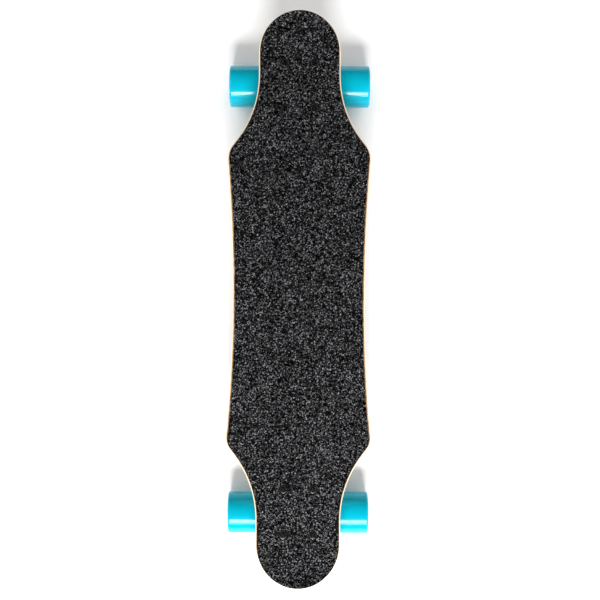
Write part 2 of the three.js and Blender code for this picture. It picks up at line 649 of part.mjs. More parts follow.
function buildMotorWheel() {
  const group = wheelGroup('rear', 1);
  const sleeve = tyre(CAN_OUT + GAP, CAN_HALF + 0.1, SLEEVE_LIP_R);
  const magnets = tube(MAGNET_IN, CAN_IN - GAP, ...MAGNET_SPAN, RING_SIDES);
  addNode(group, 'rear_right_tire', aboutX(sleeve), 'urethane');
  addNode(group, 'motor_can', aboutX(motorCan()), 'anodised');
  addNode(group, 'motor_cover', aboutX(motorCover()), 'anodised');
  addNode(group, 'motor_magnets', aboutX(magnets), 'magnet');
  addNode(group, 'motor_stator', motorStator().rotate([0, 90, 0]), 'lamination');
  addNode(group, 'motor_outer_bearing', aboutX(motorBearing(OUTER_BEARING_AT)), 'zincSteel');
  addNode(group, 'motor_inner_bearing', aboutX(motorBearing(INNER_BEARING_AT)), 'zincSteel');
}

// ---------------------------------------------------------------- tray and electronics

function cornerRing(halfX, halfY, radius, z) {
  return roundedRect(halfX, halfY, radius).getPoints(3).map((p) => new THREE.Vector3(p.x, p.y, z));
}

// A tub with a chamfered floor, shrunk all round by a wall thickness for the room inside it.
function tub(inset, z0, z1) {
  const x = TRAY_HALF_X - inset;
  const y = TRAY_HALF_Y - inset;
  const corner = TRAY_CORNER - inset;
  return hull([
    cornerRing(x - TRAY_CHAMFER, y - TRAY_CHAMFER, corner, z0),
    cornerRing(x, y, corner, z0 + TRAY_CHAMFER),
    cornerRing(x, y, corner, z1),
  ]);
}

const sideways = (geometry, y) => toSolid(aboutX(geometry).translate(0, y, SIDE_Z));
const SINK_HALF_X = 30;
const SINK_HALF_Y = 40;
const SINK_PLATE = 4;
const BEZEL_R = 9;
const BUTTON_R = 5.8;
const SOCKET_R = 6.8;
const GAUGE_HALF = [13, 3]; // along the tray and up
const GLAND_R = 5.6;
const CUTTER_SPAN = [50, 70]; // reaches through the tray's side wall

function tray() {
  const body = tub(0, TRAY_BOTTOM, TRAY_TOP);
  const flange = toSolid(
    plate(FLANGE_HALF_X, FLANGE_HALF_Y, TRAY_CORNER + 6, TRAY_TOP - FLANGE_THICK, TRAY_TOP),
  );
  const buttonRing = sideways(rod(BEZEL_R, TRAY_HALF_X - 1, TRAY_HALF_X + 1.5, RING_SIDES), BUTTON_Y);
  const [gaugeY, gaugeZ] = GAUGE_HALF;
  const gauge = toSolid(block(
    ...CUTTER_SPAN, GAUGE_Y - gaugeY, GAUGE_Y + gaugeY, SIDE_Z - gaugeZ, SIDE_Z + gaugeZ,
  ));
  const sinkHole = toSolid(block(
    -SINK_HALF_X, SINK_HALF_X, HEATSINK_Y - SINK_HALF_Y, HEATSINK_Y + SINK_HALF_Y,
    TRAY_BOTTOM - 5, TRAY_BOTTOM + 5,
  ));
  const glandHole = rod(GLAND_R + 0.4, 0, 20, SMALL_SIDES)
    .rotateX(Math.PI / 2)
    .translate(GLAND_X, 10 - TRAY_HALF_Y, GLAND_Z);
  return cut(join([body, flange, buttonRing]), [
    tub(TRAY_WALL, TRAY_BOTTOM + TRAY_WALL, TRAY_TOP + 10),
    sideways(rod(BUTTON_R + 0.4, ...CUTTER_SPAN, SMALL_SIDES), BUTTON_Y),
    sideways(rod(SOCKET_R + 0.4, ...CUTTER_SPAN, SMALL_SIDES), SOCKET_Y),
    gauge, sinkHole, toSolid(glandHole),
  ]);
}

function gasket() {
  const z0 = TRAY_TOP + 0.2;
  const z1 = z0 + GASKET_THICK;
  const ring = toSolid(plate(FLANGE_HALF_X, FLANGE_HALF_Y, TRAY_CORNER + 6, z0, z1));
  const inside = plate(TRAY_HALF_X - 2, TRAY_HALF_Y - 2, TRAY_CORNER - 2, z0 - 1, z1 + 1);
  return cut(ring, [toSolid(inside)]);
}

const CELL_R = 9.2;
const CELL_PITCH = 18.9;
const CELL_COUNT = 10;

// Ten cells side by side, held between two end plates.
function batteryPack() {
  const z = TRAY_BOTTOM + TRAY_WALL + TRAY_CHAMFER + GAP + CELL_R;
  const length = CELL_COUNT * CELL_PITCH;
  const from = 4;
  const pieces = [];
  for (let i = 0; i < CELL_COUNT; i += 1) {
    const cell = aboutX(rod(CELL_R, -54, 9, 8)).translate(0, from + (i + 0.5) * CELL_PITCH, z);
    pieces.push(toSolid(cell));
  }
  for (const x of [-55, 8]) {
    pieces.push(toSolid(block(x, x + 2, from, from + length - 1, z - CELL_R, z + CELL_R + 0.2)));
  }
  return join(pieces);
}

const LAMINATE = 1.6; // thickness of a circuit board
const SINK_IN = 0.2; // how far a component's solid reaches into its board

// Protection board: the board, a row of power transistors and the balance connector.
function bmsBoard() {
  const z = 60;
  const top = z + LAMINATE - SINK_IN;
  const transistors = 6;
  const pitch = 17;
  const parts = [toSolid(block(14, 52, 30, 150, z, z + LAMINATE))];
  for (let i = 0; i < transistors; i += 1) {
    const y = 40 + pitch * i;
    parts.push(toSolid(block(18, 28, y, y + 10, top, z + 5)));
  }
  parts.push(toSolid(block(36, 46, 60, 120, top, z + 8)));
  return join(parts);
}

// Speed controller: the board, three capacitors standing on it and the block that bears on the heatsink.
function controllerBoard() {
  const z = 58;
  const top = z + LAMINATE - SINK_IN;
  const sinkTop = TRAY_BOTTOM + TRAY_WALL + GAP + SINK_PLATE;
  const parts = [
    toSolid(block(-34, 34, -168, -66, z, z + LAMINATE)),
    toSolid(block(-24, 24, -150, -90, sinkTop + 1, z + SINK_IN)),
    toSolid(block(-20, 20, -104, -72, top, z + 7)),
  ];
  for (const x of [-18, -2, 14]) {
    parts.push(toSolid(rod(6, top, z + 15, 12).translate(x, -140, 0)));
  }
  return join(parts);
}

// A plate on the tray's floor with fins that fill the opening in it.
function heatsink() {
  const floor = TRAY_BOTTOM + TRAY_WALL + GAP;
  const lap = 5; // how far the plate reaches past the opening
  const parts = [toSolid(block(
    -SINK_HALF_X - lap, SINK_HALF_X + lap, HEATSINK_Y - SINK_HALF_Y - lap,
    HEATSINK_Y + SINK_HALF_Y + lap, floor, floor + SINK_PLATE,
  ))];
  const fins = 7;
  const finHalf = 1.6;
  const endFin = SINK_HALF_X - 2;
  const finHalfLength = SINK_HALF_Y - 0.5;
  for (let i = 0; i < fins; i += 1) {
    const x = -endFin + (2 * endFin * i) / (fins - 1);
    parts.push(toSolid(block(
      x - finHalf, x + finHalf, HEATSINK_Y - finHalfLength, HEATSINK_Y + finHalfLength,
      TRAY_BOTTOM, floor + 1,
    )));
  }
  return join(parts);
}

// Hinge of the charge cap: just above the socket, clear of the tray's flange.
const CAP_HINGE_X = TRAY_HALF_X + 3.4;
const CAP_HINGE_Z = SIDE_Z + 9.9;

function aboutHinge(geometry) {
  return toSolid(geometry.rotateX(Math.PI / 2).translate(CAP_HINGE_X, SOCKET_Y, CAP_HINGE_Z));
}

// Round three-pin socket with a pair of hinge lugs over its mouth.
function chargeSocket() {
  const face = TRAY_HALF_X + 2.3;
  const shell = sideways(turned([
    [0, 46], [SOCKET_R, 46], [SOCKET_R, TRAY_HALF_X + GAP], [BEZEL_R - 0.2, TRAY_HALF_X + GAP],
    [BEZEL_R - 0.2, face], [5.6, face], [5.6, 50], [0, 50],
  ], RING_SIDES), SOCKET_Y);
  const pins = [0, 1, 2].map((i) => {
    const angle = (2 * Math.PI * i) / 3;
    const pin = rod(0.9, 49, 54, 8).translate(3 * Math.cos(angle), 3 * Math.sin(angle), 0);
    return sideways(pin, SOCKET_Y);
  });
  const lugs = [-1, 1].map((side) => {
    const y = SOCKET_Y + side * 4.4;
    const [outward, up] = [CAP_HINGE_X + 1.2, CAP_HINGE_Z + 1.2];
    return toSolid(block(TRAY_HALF_X + 0.5, outward, y - 1, y + 1, SIDE_Z + 6, up));
  });
  return cut(join([shell, ...pins, ...lugs]), [aboutHinge(rod(0.95, -8, 8, 8))]);
}

function chargeCap() {
  const back = TRAY_HALF_X + 2.6;
  const disc = sideways(rod(8.6, back, back + 2, RING_SIDES), SOCKET_Y);
  const plug = sideways(rod(5.2, back - 1.2, back + 0.5, RING_SIDES), SOCKET_Y);
  const notches = [-1, 1].map((side) => {
    const y = SOCKET_Y + side * 8;
    return toSolid(block(50, 80, y - 5, y + 5, SIDE_Z + 5.5, SIDE_Z + 20));
  });
  const tongue = toSolid(block(back, back + 2, SOCKET_Y - 3, SOCKET_Y + 3, SIDE_Z + 5, CAP_HINGE_Z));
  const barrel = aboutHinge(rod(1.1, -3, 3, 12));
  const pin = aboutHinge(rod(0.6, -5.2, 5.2, 8));
  return join([cut(join([disc, plug]), notches), tongue, barrel, pin]);
}

function powerButton() {
  return sideways(turned([
    [0, 53], [2, 53], [2, 57.5], [BUTTON_R, 57.5], [BUTTON_R, 61.2], [BUTTON_R - 0.6, 61.8], [0, 61.8],
  ], SMALL_SIDES), BUTTON_Y);
}

function powerSwitch() {
  return sideways(turned([
    [0, 44], [5.9, 44], [5.9, 55.5], [2.4, 55.5], [2.4, 50], [0, 50],
  ], SMALL_SIDES), BUTTON_Y);
}

function gaugeWindow() {
  const [y, z] = GAUGE_HALF.map((half) => half - 0.4);
  return block(TRAY_HALF_X - 2.3, TRAY_HALF_X + 0.6, GAUGE_Y - y, GAUGE_Y + y, SIDE_Z - z, SIDE_Z + z);
}

// Gland in the tray's rear wall, turned about the cable.
function cableGland() {
  const bore = CABLE_R + 0.5;
  return turned([
    [bore, -7], [GLAND_R, -7], [GLAND_R, GAP], [9, GAP], [9, 5], [7, 8], [6, 13], [bore, 13],
  ], SMALL_SIDES).rotateX(Math.PI / 2).translate(GLAND_X, -TRAY_HALF_Y, GLAND_Z);
}

// From the controller through the gland, then down beside the hanger to the motor's outlet.
function motorCable() {
  const outletY = OUTLET_Y - TRUCK_Y - AXLE_OUT;
  const route = new THREE.CatmullRomCurve3([
    new THREE.Vector3(GLAND_X, -172, GLAND_Z),
    new THREE.Vector3(GLAND_X, -195, GLAND_Z),
    new THREE.Vector3(GLAND_X, -220, GLAND_Z),
    new THREE.Vector3(27, -240, 60),
    new THREE.Vector3(33, -262, 50),
    new THREE.Vector3(40, -280, 39),
    new THREE.Vector3(47, -291, 32),
    new THREE.Vector3(54, outletY, AXLE_Z),
    new THREE.Vector3(59.7, outletY, AXLE_Z),
  ]);
  const section = new THREE.Shape();
  section.absarc(0, 0, CABLE_R, 0, 2 * Math.PI);
  return new THREE.ExtrudeGeometry(section, { steps: 28, curveSegments: 4, extrudePath: route });
}

function buildTray() {
  addNode(board, 'electronics_tray', tray(), 'trayPlastic');
  addNode(board, 'tray_gasket', gasket(), 'rubber');
  addNode(board, 'battery_pack', batteryPack(), 'cellWrap');
  addNode(board, 'bms_board', bmsBoard(), 'circuitBoard');
  addNode(board, 'controller_board', controllerBoard(), 'circuitBoard');
  addNode(board, 'heatsink', heatsink(), 'castAluminium');
  addNode(board, 'charge_socket', chargeSocket(), 'blackSteel');
  addNode(board, 'charge_cap', chargeCap(), 'rubber');
  addNode(board, 'power_button', powerButton(), 'zincSteel');
  addNode(board, 'power_switch', powerSwitch(), 'blackNylon');
  addNode(board, 'battery_gauge_window', gaugeWindow(), 'gaugeLens');
  addNode(board, 'cable_gland', cableGland(), 'blackNylon');
  addNode(board, 'motor_cable', motorCable(), 'rubber');
}

// ---------------------------------------------------------------- assembly

buildDeck();
buildTruck('front');
buildTruck('rear');
buildWheel('front', -1);
buildWheel('front', 1);
buildWheel('rear', -1);
buildMotorWheel();
buildTray();

export default board;
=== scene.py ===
import math
import random

import bmesh
import bpy
from mathutils import Matrix, Vector


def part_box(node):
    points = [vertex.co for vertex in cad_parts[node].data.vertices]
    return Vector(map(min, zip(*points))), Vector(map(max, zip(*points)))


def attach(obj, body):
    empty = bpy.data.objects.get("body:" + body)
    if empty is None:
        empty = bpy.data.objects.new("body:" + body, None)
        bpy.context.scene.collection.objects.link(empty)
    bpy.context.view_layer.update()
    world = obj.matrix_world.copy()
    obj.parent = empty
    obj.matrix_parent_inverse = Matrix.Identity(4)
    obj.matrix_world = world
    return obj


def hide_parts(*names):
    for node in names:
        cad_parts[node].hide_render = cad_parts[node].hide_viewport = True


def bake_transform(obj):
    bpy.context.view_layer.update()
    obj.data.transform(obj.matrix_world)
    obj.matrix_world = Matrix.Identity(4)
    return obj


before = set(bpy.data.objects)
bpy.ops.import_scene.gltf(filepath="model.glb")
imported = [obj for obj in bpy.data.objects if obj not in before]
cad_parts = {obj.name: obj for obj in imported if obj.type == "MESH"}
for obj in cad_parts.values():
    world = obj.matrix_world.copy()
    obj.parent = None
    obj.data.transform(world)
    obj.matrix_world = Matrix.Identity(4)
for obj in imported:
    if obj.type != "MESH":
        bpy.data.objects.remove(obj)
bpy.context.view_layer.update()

# Sizes are in millimetres. Meshes and places are scaled to metres as objects are made.
MM = 0.001
FULL_TURN = 2 * math.pi

# The side of the middle that each end and side lies on
TRUCKS = {"front": 1, "rear": -1}
SIDES = {"left": -1, "right": 1}


# ------------------------------------------------------------------ sizes from the frame

def box_mm(node):
    low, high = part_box(node)
    return low / MM, high / MM


def middle_mm(node):
    low, high = box_mm(node)
    return (low + high) / 2


DECK_LOW, DECK_HIGH = box_mm("deck")
AXLE_LOW, AXLE_HIGH = box_mm("front_axle")
TYRE_LOW, TYRE_HIGH = box_mm("front_right_tire")
TRAY_LOW, TRAY_HIGH = box_mm("electronics_tray")

WHEEL_R = (TYRE_HIGH.z - TYRE_LOW.z) / 2
WHEEL_HALF = (TYRE_HIGH.x - TYRE_LOW.x) / 2
WHEEL_X = (TYRE_HIGH.x + TYRE_LOW.x) / 2
AXLE_Y = (TYRE_HIGH.y + TYRE_LOW.y) / 2
AXLE_Z = WHEEL_R
AXLE_R = (AXLE_HIGH.z - AXLE_LOW.z) / 2
AXLE_END = AXLE_HIGH.x
CABLE_R = 2.5
OUTLET_BESIDE_AXLE = 12  # the lead enters the motor on the board's side of the axle

# Deck: the same outline and curves as the solid
DECK_BOTTOM = DECK_LOW.z
DECK_THICK = 11
DECK_TOP = DECK_BOTTOM + DECK_THICK
DECK_HALF_LENGTH = DECK_HIGH.y
WAIST_HALF = 91.5
NOSE = {"shoulder_half": 99.4, "shoulder_y": 191, "neck_half": 56.7, "neck_y": 312}
TAIL = {"shoulder_half": 100.2, "shoulder_y": 186, "neck_half": 58.8, "neck_y": 307}
SHOULDER_ROUND = 12
FLARE_R = 150.8
FLARE_TURN = math.radians(36.2)
CONCAVE_FROM = 55
CONCAVE_TO = 99
CONCAVE_RISE = 5
KICK_FROM = 341
KICK_RISE = 8
GRIP_THICK = 0.9
GRIP_BOTTOM = box_mm("grip_tape")[0].z
GRIP_TOP = GRIP_BOTTOM + GRIP_THICK
GRIP_SIDE_MARGIN = 2.9
GRIP_TIP_MARGIN = 0.8
GRIP_HOLE_R = 6.6

# Trucks, measured from the middle of the bolt pattern on the deck's underside
TRUCK_Y = 296
BOLT_HALF_X = 20.65
BOLT_HALF_Y = 31.75
BOLT_HEAD_R = 4.6
KINGPIN_LEAN = math.radians(20)
KINGPIN_R = 4.75
KINGPIN_TOP = Vector((0, -4, -8))
KINGPIN_DOWN = Vector((0, -math.sin(KINGPIN_LEAN), -math.cos(KINGPIN_LEAN)))
RING_AT = 24
RING_HALF = 4.5
BUSHING_R = 12.2
HANGER_HALF = 64.5
RING_MIDDLE = KINGPIN_TOP + KINGPIN_DOWN * RING_AT
PIVOT_RISE = math.radians(28.3)
PIVOT_OUT = Vector((0, math.cos(PIVOT_RISE), math.sin(PIVOT_RISE)))
UPPER_BUSHING = (7.1, RING_AT - RING_HALF - 0.3)
LOWER_BUSHING = (RING_AT + RING_HALF + 0.3, RING_AT + RING_HALF + 10.7)
TRUCK_MATRIX = {
    "front": Matrix.Translation((0, TRUCK_Y, DECK_BOTTOM)),
    "rear": Matrix.Translation((0, -TRUCK_Y, DECK_BOTTOM)) @ Matrix.Rotation(math.pi, 4, "Z"),
}
AXLE_OUT = AXLE_Y - TRUCK_Y
AXLE_DOWN = AXLE_Z - DECK_BOTTOM
CASTING_FACES = 26000
NUT_CHAMFER = 0.96

# Tray: the outside of its walls and the flange that is screwed to the deck
TRAY_HALF_X = 59
TRAY_HALF_Y = 200
FLANGE_THICK = 2.8


# ------------------------------------------------------------------ mesh helpers

def scaled(matrix):
    """A placement in millimetres as one in metres."""
    result = matrix.copy()
    result.translation = matrix.translation * MM
    return result


def finish_mesh(mesh, angle=32):
    """Joins doubled points, turns faces outwards and smooths all but the edges over the angle."""
    bm = bmesh.new()
    bm.from_mesh(mesh)
    bmesh.ops.remove_doubles(bm, verts=bm.verts, dist=1e-6)
    bmesh.ops.dissolve_degenerate(bm, edges=bm.edges, dist=1e-7)
    bmesh.ops.recalc_face_normals(bm, faces=bm.faces)
    bm.to_mesh(mesh)
    bm.free()
    mesh.polygons.foreach_set("use_smooth", [True] * len(mesh.polygons))
    mesh.set_sharp_from_angle(angle=math.radians(angle))
    mesh.update()


def new_mesh(name, points, faces, material, angle=32):
    mesh = bpy.data.meshes.new(name)
    mesh.from_pydata([Vector(p) * MM for p in points], [], faces)
    mesh.materials.append(material)
    finish_mesh(mesh, angle)
    return mesh


def add_object(name, mesh, matrix=None):
    obj = bpy.data.objects.new(name, mesh)
    bpy.context.scene.collection.objects.link(obj)
    if matrix is not None:
        obj.matrix_world = scaled(matrix)
    return obj


def lofted(rings, cap_first=True, cap_last=True):
    """Points and faces of a skin over closed rings with equal numbers of points."""
    count = len(rings[0])
    points = [p for ring in rings for p in ring]
    faces = []
    for i in range(len(rings) - 1):
        for j in range(count):
            k = (j + 1) % count
            faces.append((i * count + j, i * count + k, (i + 1) * count + k, (i + 1) * count + j))
    if cap_first:
        faces.append(tuple(range(count)))
    if cap_last:
        faces.append(tuple(range((len(rings) - 1) * count, len(rings) * count)))
    return points, faces


def turned(name, profile, material, sides=64, angle=32, closed=False):
    """A mesh of (radius, height) pairs turned about +Z. A closed profile makes a ring."""
    rows = list(profile) + ([profile[0]] if closed else [])
    points, faces = lofted([circle_ring(max(r, 1e-4), z, sides) for r, z in rows], not closed, not closed)
    return new_mesh(name, points, faces, material, angle)


def band(inner_r, outer_r, z0, z1):
    """The rectangular profile of a plain ring, or of a rod where the inner radius is 0."""
    return [(inner_r, z0), (outer_r, z0), (outer_r, z1), (inner_r, z1)]


def soft_ring(name, profile, radius, steps, material, sides):
    """A turned ring whose profile has its corners rounded."""
    return turned(name, rounded(profile, radius, steps, True), MAT[material], sides, closed=True)


def rounded(profile, radius, steps=4, closed=False):
    """A profile with its corners rounded, as far as its sides allow."""
    count = len(profile)
    result = []
    for i, corner in enumerate(profile):
        if not closed and i in (0, count - 1):
            result.append(corner)
            continue
        here = Vector(corner)
        before = Vector(profile[i - 1]) - here
        after = Vector(profile[(i + 1) % count]) - here
        reach = min(radius, 0.45 * before.length, 0.45 * after.length)
        if reach < 1e-3:
            result.append(corner)
            continue
        start = here + before.normalized() * reach
        end = here + after.normalized() * reach
        for step in range(steps + 1):
            t = step / steps
            point = (1 - t) ** 2 * start + 2 * t * (1 - t) * here + t ** 2 * end
            result.append((point.x, point.y))
    return result


ABOUT_X = Matrix.Rotation(math.pi / 2, 4, "Y")


def facing(side):
    """The turn that makes +X point outwards on a side."""
    return Matrix.Rotation(math.pi if SIDES[side] < 0 else 0, 4, "Z")


def along(origin, direction):
    """The placement that turns +Z to a direction and moves to a point."""
    turn = Vector((0, 0, 1)).rotation_difference(direction).to_matrix().to_4x4()
    return Matrix.Translation(origin) @ turn


def on_kingpin(truck, at):
    return TRUCK_MATRIX[truck] @ along(KINGPIN_TOP + KINGPIN_DOWN * at, KINGPIN_DOWN)


def ring_of(radii, z):
    """Points evenly spaced round +Z, each at its own radius."""
    turns = [FULL_TURN * i / len(radii) for i in range(len(radii))]
    return [(r * math.cos(turn), r * math.sin(turn), z) for r, turn in zip(radii, turns)]


def circle_ring(r, z, sides=72):
    return ring_of([r] * sides, z)


def hexagon_radii(half_flats, sides):
    """The radii of a hexagon at evenly spaced angles, half_flats from its middle to each flat."""
    sixth = math.pi / 3
    turns = [FULL_TURN * i / sides for i in range(sides)]
    return [half_flats / math.cos((turn + sixth / 2) % sixth - sixth / 2) for turn in turns]


def hex_nut_rings(across_flats, z0, z1):
    """Rings of a hexagonal nut about +Z whose corners are cut back by a cone at both ends."""
    radii = hexagon_radii(across_flats / 2, 72)
    flat_r = across_flats / 2 * NUT_CHAMFER
    slope = math.tan(math.radians(30))
    rings = [[], [], [], []]
    for i, r in enumerate(radii):
        cut = (r - flat_r) * slope
        turn = FULL_TURN * i / len(radii)
        for ring, radius, z in zip(rings, (flat_r, r, r, flat_r), (z0, z0 + cut, z1 - cut, z1)):
            ring.append((radius * math.cos(turn), radius * math.sin(turn), z))
    return rings


def hex_nut(name, across_flats, z0, z1, bore, material, collar=0.0):
    """A hexagonal nut with a bore. A collar height adds the round crown of a lock nut at the far end."""
    rings = [circle_ring(bore, z0 + 0.4), circle_ring(bore + 0.5, z0)]
    rings += hex_nut_rings(across_flats, z0, z1 - collar)
    if collar:
        crown = across_flats / 2 * 0.88
        rings += [circle_ring(crown, z1 - collar), circle_ring(crown, z1 - 0.5), circle_ring(crown - 0.5, z1)]
    rings += [circle_ring(bore + 0.5, z1), circle_ring(bore, z1 - 0.4), circle_ring(bore, z0 + 0.4)]
    points, faces = lofted(rings, False, False)
    return new_mesh(name, points, faces, material)


def rounded_rect(half_x, half_y, radius, z, steps=10):
    """A ring of points round a rectangle with rounded corners."""
    points = []
    for corner in range(4):
        cx = (half_x - radius) * (1 if corner in (0, 3) else -1)
        cy = (half_y - radius) * (1 if corner in (0, 1) else -1)
        for step in range(steps + 1):
            angle = (corner + step / steps) * math.pi / 2
            points.append((cx + radius * math.cos(angle), cy + radius * math.sin(angle), z))
    return points


def apply_modifiers(obj):
    """Swaps an object's mesh for what its modifiers make of it."""
    bpy.context.view_layer.update()
    evaluated = obj.evaluated_get(bpy.context.evaluated_depsgraph_get())
    mesh = bpy.data.meshes.new_from_object(evaluated)
    obj.modifiers.clear()
    obj.data = mesh


def boolean(obj, tools):
    """Cuts other objects out of one and removes them."""
    for tool in tools:
        modifier = obj.modifiers.new("cut", "BOOLEAN")
        modifier.operation = "DIFFERENCE"
        modifier.solver = "EXACT"
        modifier.object = tool
    apply_modifiers(obj)
    for tool in tools:
        bpy.data.objects.remove(tool)
    finish_mesh(obj.data)


def cutter(material, profile, sides, place):
    """A turned solid to cut with."""
    return add_object("cutter", turned("cutter", profile, MAT[material], sides), place)


def settle(obj, body, node=None):
    """Sets an object's body and, if one is given, hides the CAD node it stands in for."""
    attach(obj, body)
    if node:
        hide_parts(node)


def piece(name, mesh, place, body, node=None):
    settle(add_object(name, mesh, place), body, node)


# ------------------------------------------------------------------ material helpers

def opaque(color):
    return (*color, 1) if isinstance(color, tuple) and len(color) == 3 else color


class Shader:
    """A Principled material with short calls for the nodes that feed it."""

    def __init__(self, name, **sockets):
        self.material = bpy.data.materials.new(name)
        self.material.use_nodes = True
        self.nodes = self.material.node_tree.nodes
        self.links = self.material.node_tree.links
        self.bsdf = self.nodes["Principled BSDF"]
        for socket, value in sockets.items():
            self.bsdf.inputs[socket.replace("_", " ")].default_value = value

    def add(self, kind, inputs=None, **settings):
        """Adds a node. inputs gives each socket a value or another node's output."""
        node = self.nodes.new("ShaderNode" + kind)
        for name, value in settings.items():
            setattr(node, name, value)
        for socket, value in (inputs or {}).items():
            if isinstance(value, bpy.types.NodeSocket):
                self.links.new(value, node.inputs[socket])
            else:
                node.inputs[socket].default_value = value
        return node

    def feed(self, socket, output):
        self.links.new(output, self.bsdf.inputs[socket])

    def place(self, stretch=(1, 1, 1), shift=0.0):
        return self.add("Mapping", {
            "Scale": stretch, "Location": (shift, shift, shift),
            "Vector": self.add("TexCoord").outputs["Object"],
        }).outputs["Vector"]

    def noise(self, scale, detail=4.0, roughness=0.5, distortion=0.0, stretch=(1, 1, 1)):
        return self.add("TexNoise", {
            "Scale": scale, "Detail": detail, "Roughness": roughness, "Distortion": distortion,
            "Vector": self.place(stretch),
        }).outputs["Fac"]

    def cells(self, scale, vector=None, feature="F1", randomness=1.0):
        vector = self.place() if vector is None else vector
        return self.add(
            "TexVoronoi", {"Scale": scale, "Randomness": randomness, "Vector": vector}, feature=feature)

    def chance(self, cells):
        """The random value of each cell."""
        return self.add("SeparateColor", {"Color": cells.outputs["Color"]}).outputs["Red"]

    def random_cells(self, scale, shift=0.0):
        """One random value for each cell of a size of about 1 / scale metres."""
        return self.chance(self.cells(scale, self.place(shift=shift)))

    def scattered_grains(self, scale, rarity, shift=0.0):
        """Ragged spots on a random lattice, each of its own strength, most of them weak."""
        ragged = self.add("TexNoise", {"Scale": 1300, "Vector": self.place()})
        warp = self.add("VectorMath", {
            0: ragged.outputs["Color"], 1: (0.004, 0.004, 0.004), 2: self.place(shift=shift),
        }, operation="MULTIPLY_ADD")
        cells = self.cells(scale, warp.outputs["Vector"])
        spot = self.grey(cells.outputs["Distance"], 1.0, 0.0, 0.12, 0.46)
        facets = self.grey(self.random_cells(1900, shift), 0.25, 1.75)
        strength = self.math("POWER", self.chance(cells), rarity)
        return self.math("MULTIPLY", self.math("MULTIPLY", spot, facets), strength)

    def ramp(self, fac, stops, interpolation="LINEAR"):
        node = self.add("ValToRGB", {"Fac": fac})
        node.color_ramp.interpolation = interpolation
        elements = node.color_ramp.elements
        while len(elements) < len(stops):
            elements.new(0.5)
        for element, (position, color) in zip(elements, stops):
            element.position = position
            element.color = opaque(color)
        return node.outputs["Color"]

    def grey(self, fac, low, high, from_low=0.0, from_high=1.0):
        return self.add("MapRange", {
            "Value": fac, "From Min": from_low, "From Max": from_high, "To Min": low, "To Max": high,
        }).outputs["Result"]

    def mix(self, fac, a, b):
        return self.add("Mix", {0: fac, 6: opaque(a), 7: opaque(b)}, data_type="RGBA").outputs[2]

    def math(self, operation, a, b=0.0):
        return self.add("Math", {0: a, 1: b}, operation=operation).outputs[0]

    def attribute(self, name):
        return self.add("Attribute", attribute_name=name).outputs["Fac"]

    def color(self, output):
        self.feed("Base Color", output)

    def rough(self, output):
        self.feed("Roughness", output)

    def bump(self, height, distance, strength=1.0, below=None):
        """Adds a bump of that height in metres. below is an earlier bump that it lies on."""
        inputs = {"Strength": strength, "Distance": distance, "Height": height}
        if below is not None:
            inputs["Normal"] = below
        normal = self.add("Bump", inputs).outputs["Normal"]
        self.feed("Normal", normal)
        return normal

    def worn_edges(self, color, worn, width=0.0006, amount=0.8):
        """Mixes in a worn colour where the surface turns sharply, broken up by noise."""
        bevel = self.add("Bevel", {"Radius": width}, samples=4)
        flat = self.add("NewGeometry")
        dot = self.add("VectorMath", {
            0: bevel.outputs["Normal"], 1: flat.outputs["Normal"],
        }, operation="DOT_PRODUCT")
        turn = self.grey(dot.outputs["Value"], amount, 0.0, 0.90, 0.995)
        broken = self.math("MULTIPLY", turn, self.grey(self.noise(900, 3), 0, 1, 0.40, 0.60))
        return self.mix(broken, color, worn)


# ------------------------------------------------------------------ materials

def maple_material():
    """Seven plies on the rim, straight grain on the faces, and a darker brown line beside the grip."""
    s = Shader("maple", Roughness=0.42, Coat_Weight=0.35, Coat_Roughness=0.18)
    grain = s.noise(1.0, 6, 0.62, 0.6, stretch=(520, 26, 520))
    figure = s.noise(1.0, 3, 0.5, 1.4, stretch=(46, 5, 46))
    face = s.ramp(grain, [
        (0.30, (0.50, 0.31, 0.16)), (0.47, (0.70, 0.50, 0.30)), (0.60, (0.80, 0.62, 0.41)),
    ])
    face = s.mix(0.55, face, s.ramp(figure, [(0.35, (0.70, 0.51, 0.31)), (0.68, (0.86, 0.70, 0.50))]))
    depth = s.attribute("depth")
    light, tan, glue = (0.84, 0.67, 0.46), (0.60, 0.38, 0.20), (0.32, 0.18, 0.09)
    plies = []
    for ply in range(7):
        start = ply / 7
        plies.append((start, tan if ply in (2, 4) else light))
        plies.append((start + 1 / 7 - 0.018, glue))
    layered = s.ramp(depth, plies, "CONSTANT")
    layered = s.mix(0.35, layered, s.ramp(grain, [(0.35, (0.55, 0.36, 0.20)), (0.62, (0.88, 0.72, 0.52))]))
    inset = s.attribute("inset")
    on_rim = s.math("MULTIPLY", s.math("LESS_THAN", inset, 0.9), s.math("GREATER_THAN", depth, 0.02))
    color = s.mix(on_rim, face, layered)
    near_grip = s.math("MULTIPLY", s.grey(inset, 0, 1, 1.15, 1.6), s.math("LESS_THAN", depth, 0.3))
    top_only = s.math("MULTIPLY", near_grip, s.grey(s.noise(140, 4), 0.55, 1.0, 0.3, 0.6))
    color = s.mix(top_only, color, (0.20, 0.085, 0.03))
    s.color(color)
    s.rough(s.grey(grain, 0.50, 0.34))
    s.bump(grain, 0.00012, 0.5)
    return s.material


